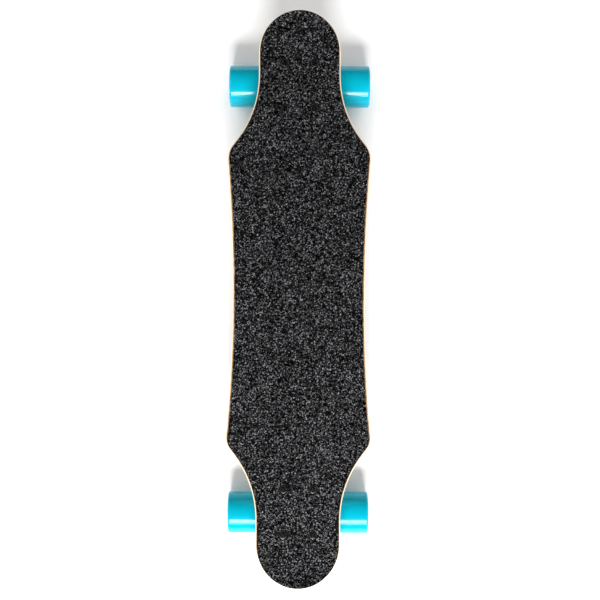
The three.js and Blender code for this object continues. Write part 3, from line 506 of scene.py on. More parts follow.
def grip_material():
    """Silicon carbide grit: dark and glassy, with scattered grains that show pale or catch the light; the
    pale grains are partly painted glints.
    """
    s = Shader("grip_grit", IOR=2.65)
    # Pale grains in the base colour: partly pale grit, partly painted glints standing in for the grit's
    # sparkle.
    pale = s.scattered_grains(450, 3.0)
    glint = s.scattered_grains(495, 3.0, 11.0)
    grains = s.random_cells(2300)
    grit = s.math("MULTIPLY", s.math("POWER", grains, 3.0), 0.003)
    shade = s.math("ADD", s.math("MULTIPLY", pale, 0.46), grit)
    shade = s.math("MULTIPLY", shade, s.grey(s.noise(26, 3), 0.86, 1.14, 0.35, 0.65))
    tint = {"Red": 0.985, "Green": 0.985, "Blue": 1.06}
    tinted = s.add("CombineColor", {
        channel: s.math("MULTIPLY", shade, factor) for channel, factor in tint.items()
    })
    s.color(tinted.outputs["Color"])
    s.feed("Specular IOR Level", s.math("MULTIPLY", glint, 1.0))
    s.rough(s.grey(grains, 0.42, 0.62))
    relief = s.bump(grains, 0.00028, 0.7)
    s.bump(pale, 0.0005, 0.35, relief)
    return s.material


def urethane_material(name, deep, base, light, specular=0.25):
    """Poured urethane: glossy and saturated, barely clouded, with fine scuffs round the rolling surface."""
    s = Shader(name, IOR=1.5, Specular_IOR_Level=specular)
    s.bsdf.inputs["Subsurface Weight"].default_value = 0.05
    s.bsdf.inputs["Subsurface Radius"].default_value = (0.0002, 0.003, 0.004)
    cloud = s.noise(30, 4, 0.55)
    s.color(s.ramp(cloud, [(0.25, deep), (0.50, base), (0.80, light)]))
    scuff = s.noise(1.0, 6, 0.7, stretch=(900, 120, 120))
    s.rough(s.grey(scuff, 0.12, 0.22, 0.35, 0.75))
    s.bump(scuff, 0.00003, 0.3)
    return s.material


def metal_material(name, base, roughness, grain=(60, 60, 60), relief=0.00004, worn=None):
    """Machined or plated metal: brushed streaks, smudges, and brighter worn edges."""
    s = Shader(name, Metallic=1.0)
    streaks = s.noise(1.0, 5, 0.6, stretch=tuple(18 * g for g in grain))
    smudge = s.noise(38, 4, 0.6)
    dark = tuple(0.72 * c for c in base)
    light = tuple(min(1.0, 1.12 * c) for c in base)
    color = s.ramp(smudge, [(0.32, dark), (0.52, base), (0.74, light)])
    if worn is not None:
        color = s.worn_edges(color, worn)
    s.color(color)
    wear = s.math("ADD", s.grey(streaks, -0.10, 0.10, 0.3, 0.7), s.grey(smudge, -0.06, 0.12, 0.3, 0.7))
    s.rough(s.math("ADD", wear, roughness))
    s.bump(streaks, relief, 0.4)
    return s.material


def cast_material():
    """Tumbled aluminium casting: soft pitted skin, brighter where it has been rubbed."""
    s = Shader("cast_aluminium", Metallic=1.0)
    skin = s.noise(1500, 4, 0.6)
    cloud = s.noise(60, 5, 0.6)
    color = s.ramp(cloud, [(0.3, (0.42, 0.43, 0.44)), (0.52, (0.58, 0.59, 0.60)), (0.75, (0.70, 0.71, 0.72))])
    pits = s.cells(700)
    color = s.mix(s.grey(pits.outputs["Distance"], 0.30, 0.0, 0.0, 0.16), color, (0.22, 0.22, 0.23))
    s.color(s.worn_edges(color, (0.86, 0.86, 0.87), 0.0012, 0.7))
    s.rough(s.grey(cloud, 0.50, 0.32, 0.3, 0.7))
    first = s.bump(skin, 0.00009, 0.5)
    s.bump(cloud, 0.0006, 0.35, first)
    return s.material


def plastic_material(
    name, dark, light, roughness=0.5, texture=1400, relief=0.00006, worn=None, specular=0.5,
):
    """Moulded plastic or rubber: fine spark-eroded texture, dust and slight shade changes."""
    s = Shader(name, IOR=1.48, Specular_IOR_Level=specular)
    skin = s.noise(texture, 3, 0.6)
    cloud = s.noise(32, 4, 0.6)
    color = s.ramp(cloud, [(0.34, dark), (0.70, light)])
    if worn is not None:
        color = s.worn_edges(color, worn, 0.0008, 0.6)
    s.color(color)
    s.rough(s.math("ADD", s.grey(skin, -0.07, 0.07, 0.3, 0.7), roughness))
    s.bump(skin, relief, 0.6)
    return s.material


def board_material():
    """Circuit board: green mask with tracks and pale component edges."""
    s = Shader("circuit_board", Roughness=0.35)
    tracks = s.cells(260, feature="DISTANCE_TO_EDGE", randomness=0.35)
    edge = s.grey(tracks.outputs["Distance"], 0.8, 0.0, 0.02, 0.06)
    s.color(s.mix(edge, (0.012, 0.10, 0.035), (0.05, 0.30, 0.10)))
    s.rough(s.grey(s.noise(300, 3), 0.28, 0.5))
    s.bump(edge, 0.0001, 0.6)
    return s.material


def make_materials():
    grey_metal = (0.60, 0.61, 0.62)
    return {
        "maple": maple_material(),
        "grip": grip_material(),
        # Near-black and barely shiny: painted shade for the pressed dimples round the bolt heads.
        "dimple_shade": plastic_material(
            "dimple_shade", (0.002, 0.002, 0.002), (0.006, 0.006, 0.006), 0.9, 700, specular=0.1),
        "urethane": urethane_material(
            "urethane_turquoise", (0.0004, 0.34, 0.46), (0.0006, 0.37, 0.50), (0.0012, 0.40, 0.54)),
        "bushing": urethane_material(
            "urethane_black", (0.008, 0.010, 0.012), (0.014, 0.017, 0.020), (0.03, 0.034, 0.038), 0.5),
        "cast": cast_material(),
        "zinc": metal_material("zinc_steel", grey_metal, 0.30, worn=(0.85, 0.85, 0.86)),
        "axle": metal_material("axle_steel", (0.50, 0.51, 0.52), 0.34, (160, 8, 8)),
        "black_steel": metal_material(
            "black_oxide", (0.018, 0.018, 0.019), 0.42, relief=0.00006, worn=(0.30, 0.29, 0.28)),
        "bolt": metal_material(
            "black_bolt", (0.014, 0.014, 0.015), 0.2, relief=0.00006, worn=(0.45, 0.44, 0.43)),
        "button": metal_material("button_steel", (0.36, 0.365, 0.37), 0.34, worn=(0.7, 0.7, 0.7)),
        "bearing": metal_material("bearing_steel", (0.68, 0.68, 0.69), 0.16),
        "anodised": metal_material(
            "black_anodised", (0.028, 0.029, 0.032), 0.36, (90, 30, 30), worn=(0.4, 0.4, 0.41)),
        "magnet": metal_material("nickel_plate", (0.62, 0.60, 0.56), 0.22),
        "lamination": metal_material("laminations", (0.20, 0.20, 0.21), 0.5, (300, 10, 10)),
        "nylon": plastic_material("black_nylon", (0.012, 0.012, 0.013), (0.026, 0.026, 0.028), 0.42),
        "tray": plastic_material(
            "tray_plastic", (0.014, 0.0145, 0.016), (0.030, 0.031, 0.034), 0.55, 1100, 0.00016,
            (0.075, 0.075, 0.08)),
        "braid": plastic_material(
            "braided_sleeve", (0.008, 0.008, 0.009), (0.035, 0.035, 0.038), 0.6, 1600, 0.0003),
        "rubber": plastic_material("black_rubber", (0.010, 0.010, 0.010), (0.024, 0.024, 0.025), 0.72, 800),
        "shield": plastic_material("bearing_shield", (0.010, 0.011, 0.012), (0.022, 0.023, 0.026), 0.38, 500),
        "insert": plastic_material("nylon_insert", (0.45, 0.47, 0.50), (0.62, 0.64, 0.66), 0.4),
        "cells": plastic_material("cell_sleeve", (0.03, 0.10, 0.28), (0.05, 0.16, 0.40), 0.35, 400),
        "board": board_material(),
        "lens": plastic_material(
            "smoked_acrylic", (0.008, 0.009, 0.010), (0.016, 0.018, 0.020), 0.08, 200, 0.00001),
        "gauge": plastic_material("gauge_mark", (0.10, 0.55, 0.60), (0.16, 0.70, 0.75), 0.3),
    }


MAT = make_materials()


# ------------------------------------------------------------------ deck

def bezier(a, b, c, steps):
    points = []
    for i in range(1, steps + 1):
        t = i / steps
        points.append(tuple(
            (1 - t) ** 2 * a[k] + 2 * t * (1 - t) * b[k] + t ** 2 * c[k] for k in (0, 1)
        ))
    return points


def arc(cx, cy, r, start, end, steps):
    turn = [start + (end - start) * i / steps for i in range(steps + 1)]
    return [(cx + r * math.cos(a), cy + r * math.sin(a)) for a in turn]


def straight(a, b, steps):
    return [tuple(a[k] + (b[k] - a[k]) * i / steps for k in (0, 1)) for i in range(1, steps)]


def outline_quarter(end, side_margin, tip_margin):
    """Half widths and places of the deck's edge from its middle to one tip."""
    neck_margin = (side_margin + tip_margin) / 2
    neck = end["neck_half"] - neck_margin
    arc_x = end["neck_half"] + FLARE_R
    flare_r = FLARE_R + neck_margin
    sine, cosine = math.sin(FLARE_TURN), math.cos(FLARE_TURN)
    flare_end = (arc_x - flare_r * cosine, end["neck_y"] - flare_r * sine)

    def out_along_flare(distance):
        return (flare_end[0] + distance * sine, flare_end[1] - distance * cosine)

    tip_y = DECK_HALF_LENGTH - tip_margin - neck
    waist = (WAIST_HALF - side_margin, 0)
    shoulder = (end["shoulder_half"] - side_margin, end["shoulder_y"])
    round_end = out_along_flare(SHOULDER_ROUND)
    quarter = [waist]
    quarter += bezier(waist, (waist[0], end["shoulder_y"] / 2), shoulder, 44)
    quarter += bezier(shoulder, out_along_flare(2 * SHOULDER_ROUND), round_end, 14)
    quarter += straight(round_end, flare_end, 3)
    quarter += arc(arc_x, end["neck_y"], flare_r, math.pi + FLARE_TURN, math.pi, 30)
    quarter += straight((neck, end["neck_y"]), (neck, tip_y), 8)
    quarter += arc(0, tip_y, neck, 0, math.pi / 2, 40)
    quarter[-1] = (0.0, quarter[-1][1])
    return quarter


def outline_side(side_margin=0.0, tip_margin=0.0):
    """The right edge of the deck from tail tip to nose tip."""
    tail = outline_quarter(TAIL, side_margin, tip_margin)
    return [(x, -y) for x, y in reversed(tail[1:])] + outline_quarter(NOSE, side_margin, tip_margin)


def surface_rise(x, y):
    side = max(abs(x) - CONCAVE_FROM, 0) / (CONCAVE_TO - CONCAVE_FROM)
    tip = max(abs(y) - KICK_FROM, 0) / (DECK_HALF_LENGTH - KICK_FROM)
    return CONCAVE_RISE * side ** 2 + KICK_RISE * tip ** 2


def outward_normals(side):
    normals = []
    for i, (x, y) in enumerate(side):
        before = side[i - 1] if i > 0 else (-side[1][0], side[1][1])
        after = side[i + 1] if i < len(side) - 1 else (-side[-2][0], side[-2][1])
        tangent = Vector((after[0] - before[0], after[1] - before[1])).normalized()
        normals.append(Vector((tangent.y, -tangent.x)))
    return normals


def board_sheet(name, side, rim, thickness, material):
    """A sheet filling the outline. rim lists (inset, height) round its edge from its top face to its
    bottom face; the faces between are spanned straight across. depth and inset are kept for materials."""
    columns = 24
    normals = outward_normals(side)
    top = rim[0][1]
    levels = []
    for inset, z in rim:
        levels.append([(p[0] - n.x * inset, p[1] - n.y * inset, z) for p, n in zip(side, normals)])
    for level in levels:
        level[0] = (0.0, level[0][1], level[0][2])
        level[-1] = (0.0, level[-1][1], level[-1][2])
    points, faces, insets = [], [], []

    def add_strip(rows, row_insets, flip):
        start = len(points)
        width = len(rows[0])
        for row, inset in zip(rows, row_insets):
            for x, y, z in row:
                points.append((x, y, z + surface_rise(x, y)))
                insets.append(inset)
        for i in range(len(rows) - 1):
            for j in range(width - 1):
                a = start + i * width + j
                quad = (a, a + 1, a + width + 1, a + width)
                faces.append(tuple(reversed(quad)) if flip else quad)

    for mirror in (1, -1):
        rows = [[(mirror * x, y, z) for x, y, z in level] for level in levels]
        add_strip(rows, [inset for inset, _ in rim], mirror > 0)
    for level, (inset, _), flip in ((levels[0], rim[0], False), (levels[-1], rim[-1], True)):
        rows = [[(x * (2 * j / columns - 1), y, z) for j in range(columns + 1)] for x, y, z in level]
        add_strip(rows, [inset] * len(rows), flip)
    mesh = bpy.data.meshes.new(name)
    mesh.from_pydata([Vector(p) * MM for p in points], [], faces)
    depth = mesh.attributes.new("depth", "FLOAT", "POINT")
    depth.data.foreach_set("value", [
        (top + surface_rise(x, y) - z) / thickness for x, y, z in points
    ])
    inset_layer = mesh.attributes.new("inset", "FLOAT", "POINT")
    inset_layer.data.foreach_set("value", insets)
    mesh.materials.append(material)
    finish_mesh(mesh, 50)
    return add_object(name, mesh)


def fillet(z_face, radius, steps, top):
    """(inset, height) pairs round a quarter circle between a face and the side wall."""
    pairs = []
    for i in range(steps + 1):
        angle = math.pi / 2 * i / steps
        drop = radius * (1 - math.cos(angle))
        pairs.append((radius * (1 - math.sin(angle)), z_face - drop if top else z_face + drop))
    return pairs


def bolt_places():
    """The name of each deck bolt, such as front_outer_left, and its place."""
    for truck, end in TRUCKS.items():
        for row, dy in (("outer", 1), ("inner", -1)):
            for side, dx in SIDES.items():
                spot = (dx * BOLT_HALF_X, end * (TRUCK_Y + dy * BOLT_HALF_Y), 0)
                yield f"{truck}_{row}_{side}", Matrix.Translation(spot)


def cut_bolt_holes(sheet, profile, material, sides):
    boolean(sheet, [cutter(material, profile, sides, place) for _, place in bolt_places()])


def build_deck():
    top_r, bottom_r = 1.9, 3.2
    wall = [(0, DECK_TOP - top_r - (DECK_THICK - top_r - bottom_r) * i / 6) for i in range(1, 6)]
    rim = [(3.6, DECK_TOP), (2.6, DECK_TOP)] + fillet(DECK_TOP, top_r, 5, True) + wall
    rim += list(reversed(fillet(DECK_BOTTOM, bottom_r, 6, False)))
    deck = board_sheet("deck_plies", outline_side(), rim, DECK_THICK, MAT["maple"])
    hole = [(0, 60), (2.8, 60), (2.8, DECK_TOP - 1.2), (4.2, DECK_TOP + 0.2), (4.2, 120), (0, 120)]
    cut_bolt_holes(deck, hole, "maple", 24)
    settle(deck, "board", "deck")


def build_grip():
    side = outline_side(GRIP_SIDE_MARGIN, GRIP_TIP_MARGIN)
    rim = [(1.5, GRIP_TOP)] + fillet(GRIP_TOP, 0.35, 3, True) + [(0, GRIP_BOTTOM), (1.5, GRIP_BOTTOM)]
    grip = board_sheet("grip_sheet", side, rim, GRIP_THICK, MAT["grip"])
    cut_bolt_holes(grip, band(0, GRIP_HOLE_R, 85, 99), "grip", 28)
    settle(grip, "board", "grip_tape")
    build_pressed_rings()


def build_pressed_rings():
    """Where each bolt's head has pulled the sheet down: a near-black ring, painted shade of the dimple round
    the head.
    """
    ring = soft_ring("pressed_ring", [
        (BOLT_HEAD_R - 0.3, GRIP_BOTTOM), (GRIP_HOLE_R, GRIP_BOTTOM), (GRIP_HOLE_R, GRIP_TOP - 0.1),
        (BOLT_HEAD_R - 0.08, GRIP_BOTTOM + 0.2),
    ], 0.12, 3, "dimple_shade", 40)
    for name, place in bolt_places():
        piece(f"grip_pressed_{name}", ring, place, "board")


def thread_profile(r, z0, z1, pitch=0.8, depth=0.35):
    """(radius, height) pairs of the ridges of a thread between two heights."""
    pairs = []
    turns = int((z1 - z0) / pitch)
    for i in range(turns):
        z = z0 + i * pitch
        pairs += [(r - depth, z), (r, z + pitch / 2)]
    pairs.append((r - depth, z0 + turns * pitch))
    return pairs


def build_deck_bolts():
    """Countersunk cross-head bolts, each with its lock nut under the baseplate."""
    low, high = box_mm("deck_bolt_front_outer_left")
    head_top = high.z
    shank_r = 2.4
    nut_height = 4.9
    nut_top = low.z + 2.5 + nut_height
    profile = [(0, low.z), (shank_r - 0.5, low.z)]
    profile += thread_profile(shank_r, low.z + 0.4, head_top - 9)
    profile += [
        (shank_r, head_top - 8.6), (shank_r, head_top - 2.4), (BOLT_HEAD_R - 0.05, head_top - 0.30),
        (BOLT_HEAD_R, head_top - 0.12), (BOLT_HEAD_R - 0.2, head_top), (0, head_top),
    ]
    body = add_object("bolt", turned("deck_bolt", profile, MAT["bolt"], 40))
    slot_rings = []
    for half_long, half_wide, drop in ((1.1, 0.35, 1.9), (2.55, 0.62, 0), (2.6, 0.64, -1)):
        corners = ((-1, -1), (1, -1), (1, 1), (-1, 1))
        slot_rings.append([(half_long * x, half_wide * y, head_top - drop) for x, y in corners])
    points, faces = lofted(slot_rings)
    boolean(body, [
        add_object("slot", new_mesh("slot", points, faces, MAT["bolt"]), Matrix.Rotation(turn, 4, "Z"))
        for turn in (0, math.pi / 2)
    ])
    bolt_mesh = body.data
    bpy.data.objects.remove(body)
    nut_mesh = hex_nut(
        "deck_bolt_nut", 8, nut_top - nut_height, nut_top, shank_r + 0.05, MAT["black_steel"])
    turns = random.Random(7)
    for name, spot in bolt_places():
        place = spot @ Matrix.Rotation(turns.uniform(0, math.pi), 4, "Z")
        node = f"deck_bolt_{name}"
        piece(f"{node}_cross_head", bolt_mesh, place, "board", node)
        piece(f"deck_nut_{name}", nut_mesh, place, "board")


# ------------------------------------------------------------------ trucks

def melted(name, mesh, voxel, rounds, faces_kept):
    """A mesh with its parts run together and its edges rounded, as a mould leaves them."""
    obj = add_object(name, mesh)
    remesh = obj.modifiers.new("melt", "REMESH")
    remesh.mode = "VOXEL"
    remesh.voxel_size = voxel * MM
    smooth = obj.modifiers.new("soften", "SMOOTH")
    smooth.factor = 0.5
    smooth.iterations = rounds
    apply_modifiers(obj)
    thin = obj.modifiers.new("thin", "DECIMATE")
    thin.ratio = min(1.0, faces_kept / max(1, 2 * len(obj.data.polygons)))
    apply_modifiers(obj)
    obj.data.materials.clear()
    obj.data.materials.append(MAT["cast"])
    finish_mesh(obj.data, 60)
    return obj


def disc_ring(middle, axis, r, sides=48):
    """Points round a circle about an axis."""
    place = along(middle, axis)
    return [place @ Vector(point) for point in circle_ring(r, 0, sides)]


def add_hull(bm, rings):
    """Adds the convex skin over some rings of points."""
    verts = [bm.verts.new(Vector(point) * MM) for ring in rings for point in ring]
    result = bmesh.ops.convex_hull(bm, input=verts)
    inside = [item for item in result["geom_interior"] if isinstance(item, bmesh.types.BMVert)]
    bmesh.ops.delete(bm, geom=inside, context="VERTS")


def hanger_mesh():
    """The hanger in its truck's frame: beam, wings, ring and pivot nose, with the bores cut afterwards."""
    across = Vector((1, 0, 0))

    def axle_ring(x, r):
        return disc_ring(Vector((x, AXLE_OUT, AXLE_DOWN)), across, r)

    def pivot_ring(at, r):
        return disc_ring(RING_MIDDLE + PIVOT_OUT * at, PIVOT_OUT, r)

    def kingpin_ring(at, r):
        return disc_ring(KINGPIN_TOP + KINGPIN_DOWN * at, KINGPIN_DOWN, r, 72)

    ring_from, ring_to = RING_AT - RING_HALF, RING_AT + RING_HALF
    hulls = []
    for side in SIDES.values():
        end = axle_ring(side * HANGER_HALF, 8.0)
        hulls.append([axle_ring(side * 14, 12), axle_ring(side * 60, 8.2), end])
        hulls.append([axle_ring(0, 11), axle_ring(side * 50, 8.6), pivot_ring(16, 5.5), pivot_ring(26, 5.5)])
    hulls += [
        [axle_ring(-22, 11.4), axle_ring(22, 11.4), pivot_ring(20, 7.5), pivot_ring(34, 6.5)],
        [kingpin_ring(ring_from, 15), kingpin_ring(ring_to, 15)],
        [kingpin_ring(ring_from, 14), kingpin_ring(ring_to, 14), axle_ring(-16, 10), axle_ring(16, 10)],
        [pivot_ring(18, 6.5), pivot_ring(33, 6.5), pivot_ring(38, 4.7)],
        [pivot_ring(33, 4.7), pivot_ring(43.9, 4.7), pivot_ring(46.2, 3.0)],
    ]
    bm = bmesh.new()
    for rings in hulls:
        add_hull(bm, rings)
    rough = bpy.data.meshes.new("hanger")
    bm.to_mesh(rough)
    bm.free()
    hanger = melted("hanger", rough, 0.6, 10, CASTING_FACES)
    kingpin = along(KINGPIN_TOP, KINGPIN_DOWN)
    axle = Matrix.Translation((0, AXLE_OUT, AXLE_DOWN)) @ ABOUT_X
    seat_r = BUSHING_R + 2.1
    boolean(hanger, [cutter("cast", band(0, r, start, end), 72, place) for r, start, end, place in (
        (seat_r, -12, ring_from, kingpin), (seat_r, ring_to, 80, kingpin), (8.5, 0, 80, kingpin),
        (AXLE_R + 0.3, -90, 90, axle),
    )])
    mesh = hanger.data
    finish_mesh(mesh, 45)
    bpy.data.objects.remove(hanger)
    return mesh


def build_castings():
    mesh = hanger_mesh()
    for truck in TRUCKS:
        node = f"{truck}_baseplate"
        plate = melted(f"{node}_casting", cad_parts[node].data.copy(), 0.55, 5, CASTING_FACES)
        settle(plate, "board", node)
        node = f"{truck}_hanger"
        piece(f"{node}_casting", mesh, TRUCK_MATRIX[truck], f"{truck}_truck", node)


def bushing_mesh(name, start, end, taper):
    """A barrel or cone bushing about the kingpin, with a moulded waist."""
    hole = KINGPIN_R + 0.3
    height = end - start
    profile = [(hole, 0), (BUSHING_R - 0.8, 0)]
    for i in range(13):
        t = i / 12
        bulge = 0.55 * math.sin(math.pi * t)
        profile.append((BUSHING_R - 0.35 - taper * t + bulge, 0.6 + (height - 1.2) * t))
    profile += [(BUSHING_R - 0.9 - taper, height), (hole, height)]
    return turned(name, profile, MAT["bushing"], 56, closed=True)


def cup_washer(name, inward):
    """A dished washer whose rim turns towards its bushing."""
    hole = KINGPIN_R + 0.25
    rim = 1.5 * inward
    return soft_ring(name, [
        (hole, 0), (BUSHING_R - 1.2, 0), (BUSHING_R - 0.2, 0.25 * inward), (BUSHING_R, rim),
        (BUSHING_R - 1.0, rim), (BUSHING_R - 1.6, 1.0 * inward), (hole, 1.0 * inward),
    ], 0.4, 3, "zinc", 56)


def build_kingpin_stack(truck):
    place = on_kingpin(truck, 0)
    head = rounded([(0, -3), (6.5, -3), (6.5, 0.8), (KINGPIN_R, 0.8), (KINGPIN_R, 37)], 0.5, 3)
    shaft = head + thread_profile(KINGPIN_R, 37.5, 51.4, 1.0, 0.45) + [(KINGPIN_R - 1, 52), (0, 52)]
    kingpin = turned("kingpin", shaft, MAT["zinc"], 48)
    piece(f"{truck}_kingpin_bolt", kingpin, place, "board", f"{truck}_kingpin")
    washer_at = LOWER_BUSHING[1] + 0.3
    nut_end = washer_at + 9.3
    nut = hex_nut("kingpin_nut", 14.2, washer_at + 1.3, nut_end, KINGPIN_R + 0.1, MAT["zinc"], 2.2)
    piece(f"{truck}_kingpin_lock_nut", nut, place, "board", f"{truck}_kingpin_nut")
    nylon = band(KINGPIN_R + 0.05, 5.9, nut_end - 1.2, nut_end + 0.05)
    insert = soft_ring("kingpin_nut_insert", nylon, 0.2, 2, "insert", 48)
    piece(f"{truck}_kingpin_nut_insert", insert, place, "board")
    for name, at, inward in (("upper", 5.2, 1), ("lower", washer_at + 1.2, -1)):
        washer = cup_washer(f"{name}_cup", inward)
        piece(f"{truck}_{name}_cup_washer", washer, on_kingpin(truck, at), "board")
    for name, (start, end), taper in (("boardside", UPPER_BUSHING, 0.0), ("roadside", LOWER_BUSHING, 2.4)):
        mesh = bushing_mesh(f"{name}_bushing", start, end, taper)
        mesh.transform(scaled(on_kingpin(truck, start)))
        bushing = add_object(f"{truck}_{name}_urethane", mesh)
        ring_end, board_end = (end, start) if name == "boardside" else (start, end)
        start_point = (on_kingpin(truck, board_end).translation) * MM
        end_point = (on_kingpin(truck, ring_end).translation) * MM
        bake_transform(bushing)
        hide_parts(f"{truck}_{name}_bushing")


def build_axle(truck):
    body = f"{truck}_truck"
    middle = Matrix.Translation((0, TRUCKS[truck] * AXLE_Y, AXLE_Z))
    thread = thread_profile(AXLE_R, AXLE_END - 12, AXLE_END - 0.9, 1.0, 0.4)
    half = [(AXLE_R, 0), (AXLE_R, AXLE_END - 12.4)] + thread + [(AXLE_R - 0.8, AXLE_END), (0, AXLE_END)]
    profile = [(r, -z) for r, z in reversed(half)] + half[1:]
    rod = turned("axle", profile, MAT["axle"], 40)
    piece(f"{truck}_axle_rod", rod, middle @ ABOUT_X, body, f"{truck}_axle")
    nut = hex_nut("axle_nut", 12.9, 91.3, 97.3, AXLE_R + 0.1, MAT["zinc"], 1.6)
    insert = soft_ring("axle_nut_insert", band(AXLE_R + 0.05, 5.2, 96.3, 97.35), 0.2, 2, "insert", 40)
    for side in SIDES:
        place = middle @ facing(side) @ ABOUT_X
        piece(f"{truck}_axle_lock_nut_{side}", nut, place, body, f"{truck}_axle_nut_{side}")
        piece(f"{truck}_axle_nut_insert_{side}", insert, place, body)


# ------------------------------------------------------------------ wheels

def tyre_profile(bore_r, bore_half, lip_r):
    """(radius, width) pairs of a square-lipped wheel, closed through its bore."""
    half = WHEEL_HALF
    edge = 2.2
    outer = [
        (bore_r, bore_half), (lip_r - 1.6, half - 0.7), (lip_r, half), (WHEEL_R - edge, half),
        (WHEEL_R - 0.35 * edge, half - 0.30 * edge), (WHEEL_R, half - edge),
    ]
    mirrored = [(r, -z) for r, z in reversed(outer)]
    return rounded(outer + mirrored, 1.1, 4, True)


def wheel_place(end, side):
    spot = Matrix.Translation((SIDES[side] * WHEEL_X, TRUCKS[end] * AXLE_Y, AXLE_Z))
    return spot @ facing(side) @ ABOUT_X


def build_plain_wheels():
    tyre = turned("tyre", tyre_profile(16.2, WHEEL_HALF - 4.4, 21.4), MAT["urethane"], 128, closed=True)
    core = soft_ring("wheel_core", [
        (11.15, -12.4), (12.2, -12.4), (13.0, -15.2), (16.1, -15.2), (16.1, 15.2), (13.0, 15.2), (12.2, 12.4),
        (11.15, 12.4),
    ], 0.6, 3, "nylon", 72)
    races, shields, spacer = bearing_meshes(4.1, 11.0, 7.0)
    washer = soft_ring("speed_washer", band(4.15, 6.2, 0, 0.9), 0.2, 2, "zinc", 40)
    for end, side in (("front", "left"), ("front", "right"), ("rear", "left")):
        name = f"{end}_{side}"
        body = f"{name}_wheel"
        place = wheel_place(end, side)
        piece(f"{name}_tyre", tyre, place, body, f"{name}_tire")
        piece(f"{name}_core", core, place, body, f"{name}_wheel_core")
        piece(f"{name}_spacer", spacer, place, body, f"{name}_wheel_bearings")
        for label, start in (("inner", -12.2), ("outer", 5.2)):
            spot = place @ Matrix.Translation((0, 0, start))
            piece(f"{name}_{label}_bearing_races", races, spot, body)
            piece(f"{name}_{label}_bearing_shield", shields, spot, body)
        for label, start in (("inner", -13.2), ("outer", 12.3)):
            spot = place @ Matrix.Translation((0, 0, start))
            piece(f"{name}_{label}_speed_washer", washer, spot, f"{end}_truck")


def bearing_meshes(bore, outer, width):
    """Races and shields of a ball bearing from height 0 to its width, and the spacer of a pair."""
    race = (outer - bore) * 0.22
    groove = 0.35
    points, faces = [], []
    for profile in (band(outer - race, outer, 0, width), band(bore, bore + race, 0, width)):
        soft = rounded(profile, 0.3, 3, True)
        rings = [circle_ring(r, z, 64) for r, z in soft + soft[:1]]
        race_points, race_faces = lofted(rings, False, False)
        faces += [tuple(i + len(points) for i in face) for face in race_faces]
        points += race_points
    races = new_mesh("bearing_races", points, faces, MAT["bearing"])
    inside, outside = bore + race + 0.05, outer - race - 0.05
    middle = (inside + outside) / 2
    profile = [
        (inside, groove), (middle - 0.4, groove - 0.08), (middle + 0.4, groove + 0.12), (outside, groove),
        (outside, width - groove), (middle + 0.4, width - groove - 0.12),
        (middle - 0.4, width - groove + 0.08), (inside, width - groove),
    ]
    shields = turned("bearing_shield", profile, MAT["shield"], 64, closed=True)
    spacer = soft_ring("bearing_spacer", band(4.3, 6, -5.1, 5.1), 0.3, 2, "zinc", 40)
    return races, shields, spacer


def cap_screw(name, head_r, head_height, material):
    """A low socket-head screw about +Z, standing on height 0, with a hexagonal recess."""
    outside = ((0.9, 0), (1, 0.15), (1, 0.55), (0.86, 0.93), (0.72, 1))
    rings = [circle_ring(head_r * r, head_height * z, 48) for r, z in outside]
    recess = hexagon_radii(head_r * 0.52 * math.cos(math.pi / 6), 48)
    rings += [ring_of(recess, head_height), ring_of(recess, head_height * 0.35)]
    points, faces = lofted(rings)
    return new_mesh(name, points, faces, material, 40)


def build_motor_wheel():
    place = wheel_place("rear", "right")
    body = "rear_right_wheel"
    sleeve = turned("sleeve", tyre_profile(24.55, WHEEL_HALF - 1.9, 25.6), MAT["urethane"], 128, closed=True)
    piece("rear_right_sleeve", sleeve, place, body, "rear_right_tire")
    can = soft_ring("motor_can", [
        (24.3, -20.6), (24.3, 20.5), (22.6, 20.5), (21.8, 17.6), (20.6, 16.7), (17.2, 16.7), (16.9, 16.2),
        (11.4, 16.2), (11.1, 16.7), (9.6, 16.7), (9.6, 13.8), (12.3, 13.8), (12.3, 8.2), (14.5, 8.2),
        (14.5, 13.8), (22.3, 13.8), (22.3, -20.6),
    ], 0.35, 2, "anodised", 96)
    piece("motor_can_turned", can, place, body, "motor_can")
    cover = soft_ring("motor_cover", [
        (12.3, -11.7), (14.2, -11.7), (14.6, -11.2), (18.5, -11.2), (19, -11.7), (22, -11.7), (22, -8.7),
        (14.5, -8.7), (14.5, -6.2), (12.3, -6.2),
    ], 0.3, 2, "anodised", 96)
    piece("motor_cover_turned", cover, place, body, "motor_cover")
    races, shields, _ = bearing_meshes(7.5, 12, 4.8)
    for label, at in (("outer", 8.55), ("inner", -11.35)):
        name = f"motor_{label}_bearing"
        spot = place @ Matrix.Translation((0, 0, at))
        piece(f"{name}_races", races, spot, body, name)
        piece(f"{name}_shield", shields, spot, body)
    screw = cap_screw("motor_screw", 1.5, 0.9, MAT["black_steel"])
    screw_circle_r, screw_count = 18.9, 6
    for i in range(screw_count):
        angle = FULL_TURN * (i + 0.5) / screw_count
        spot = Matrix.Translation((screw_circle_r * math.cos(angle), screw_circle_r * math.sin(angle), 16.6))
        piece(f"motor_face_screw_{i}", screw, place @ spot, body)


# ------------------------------------------------------------------ tray and electronics

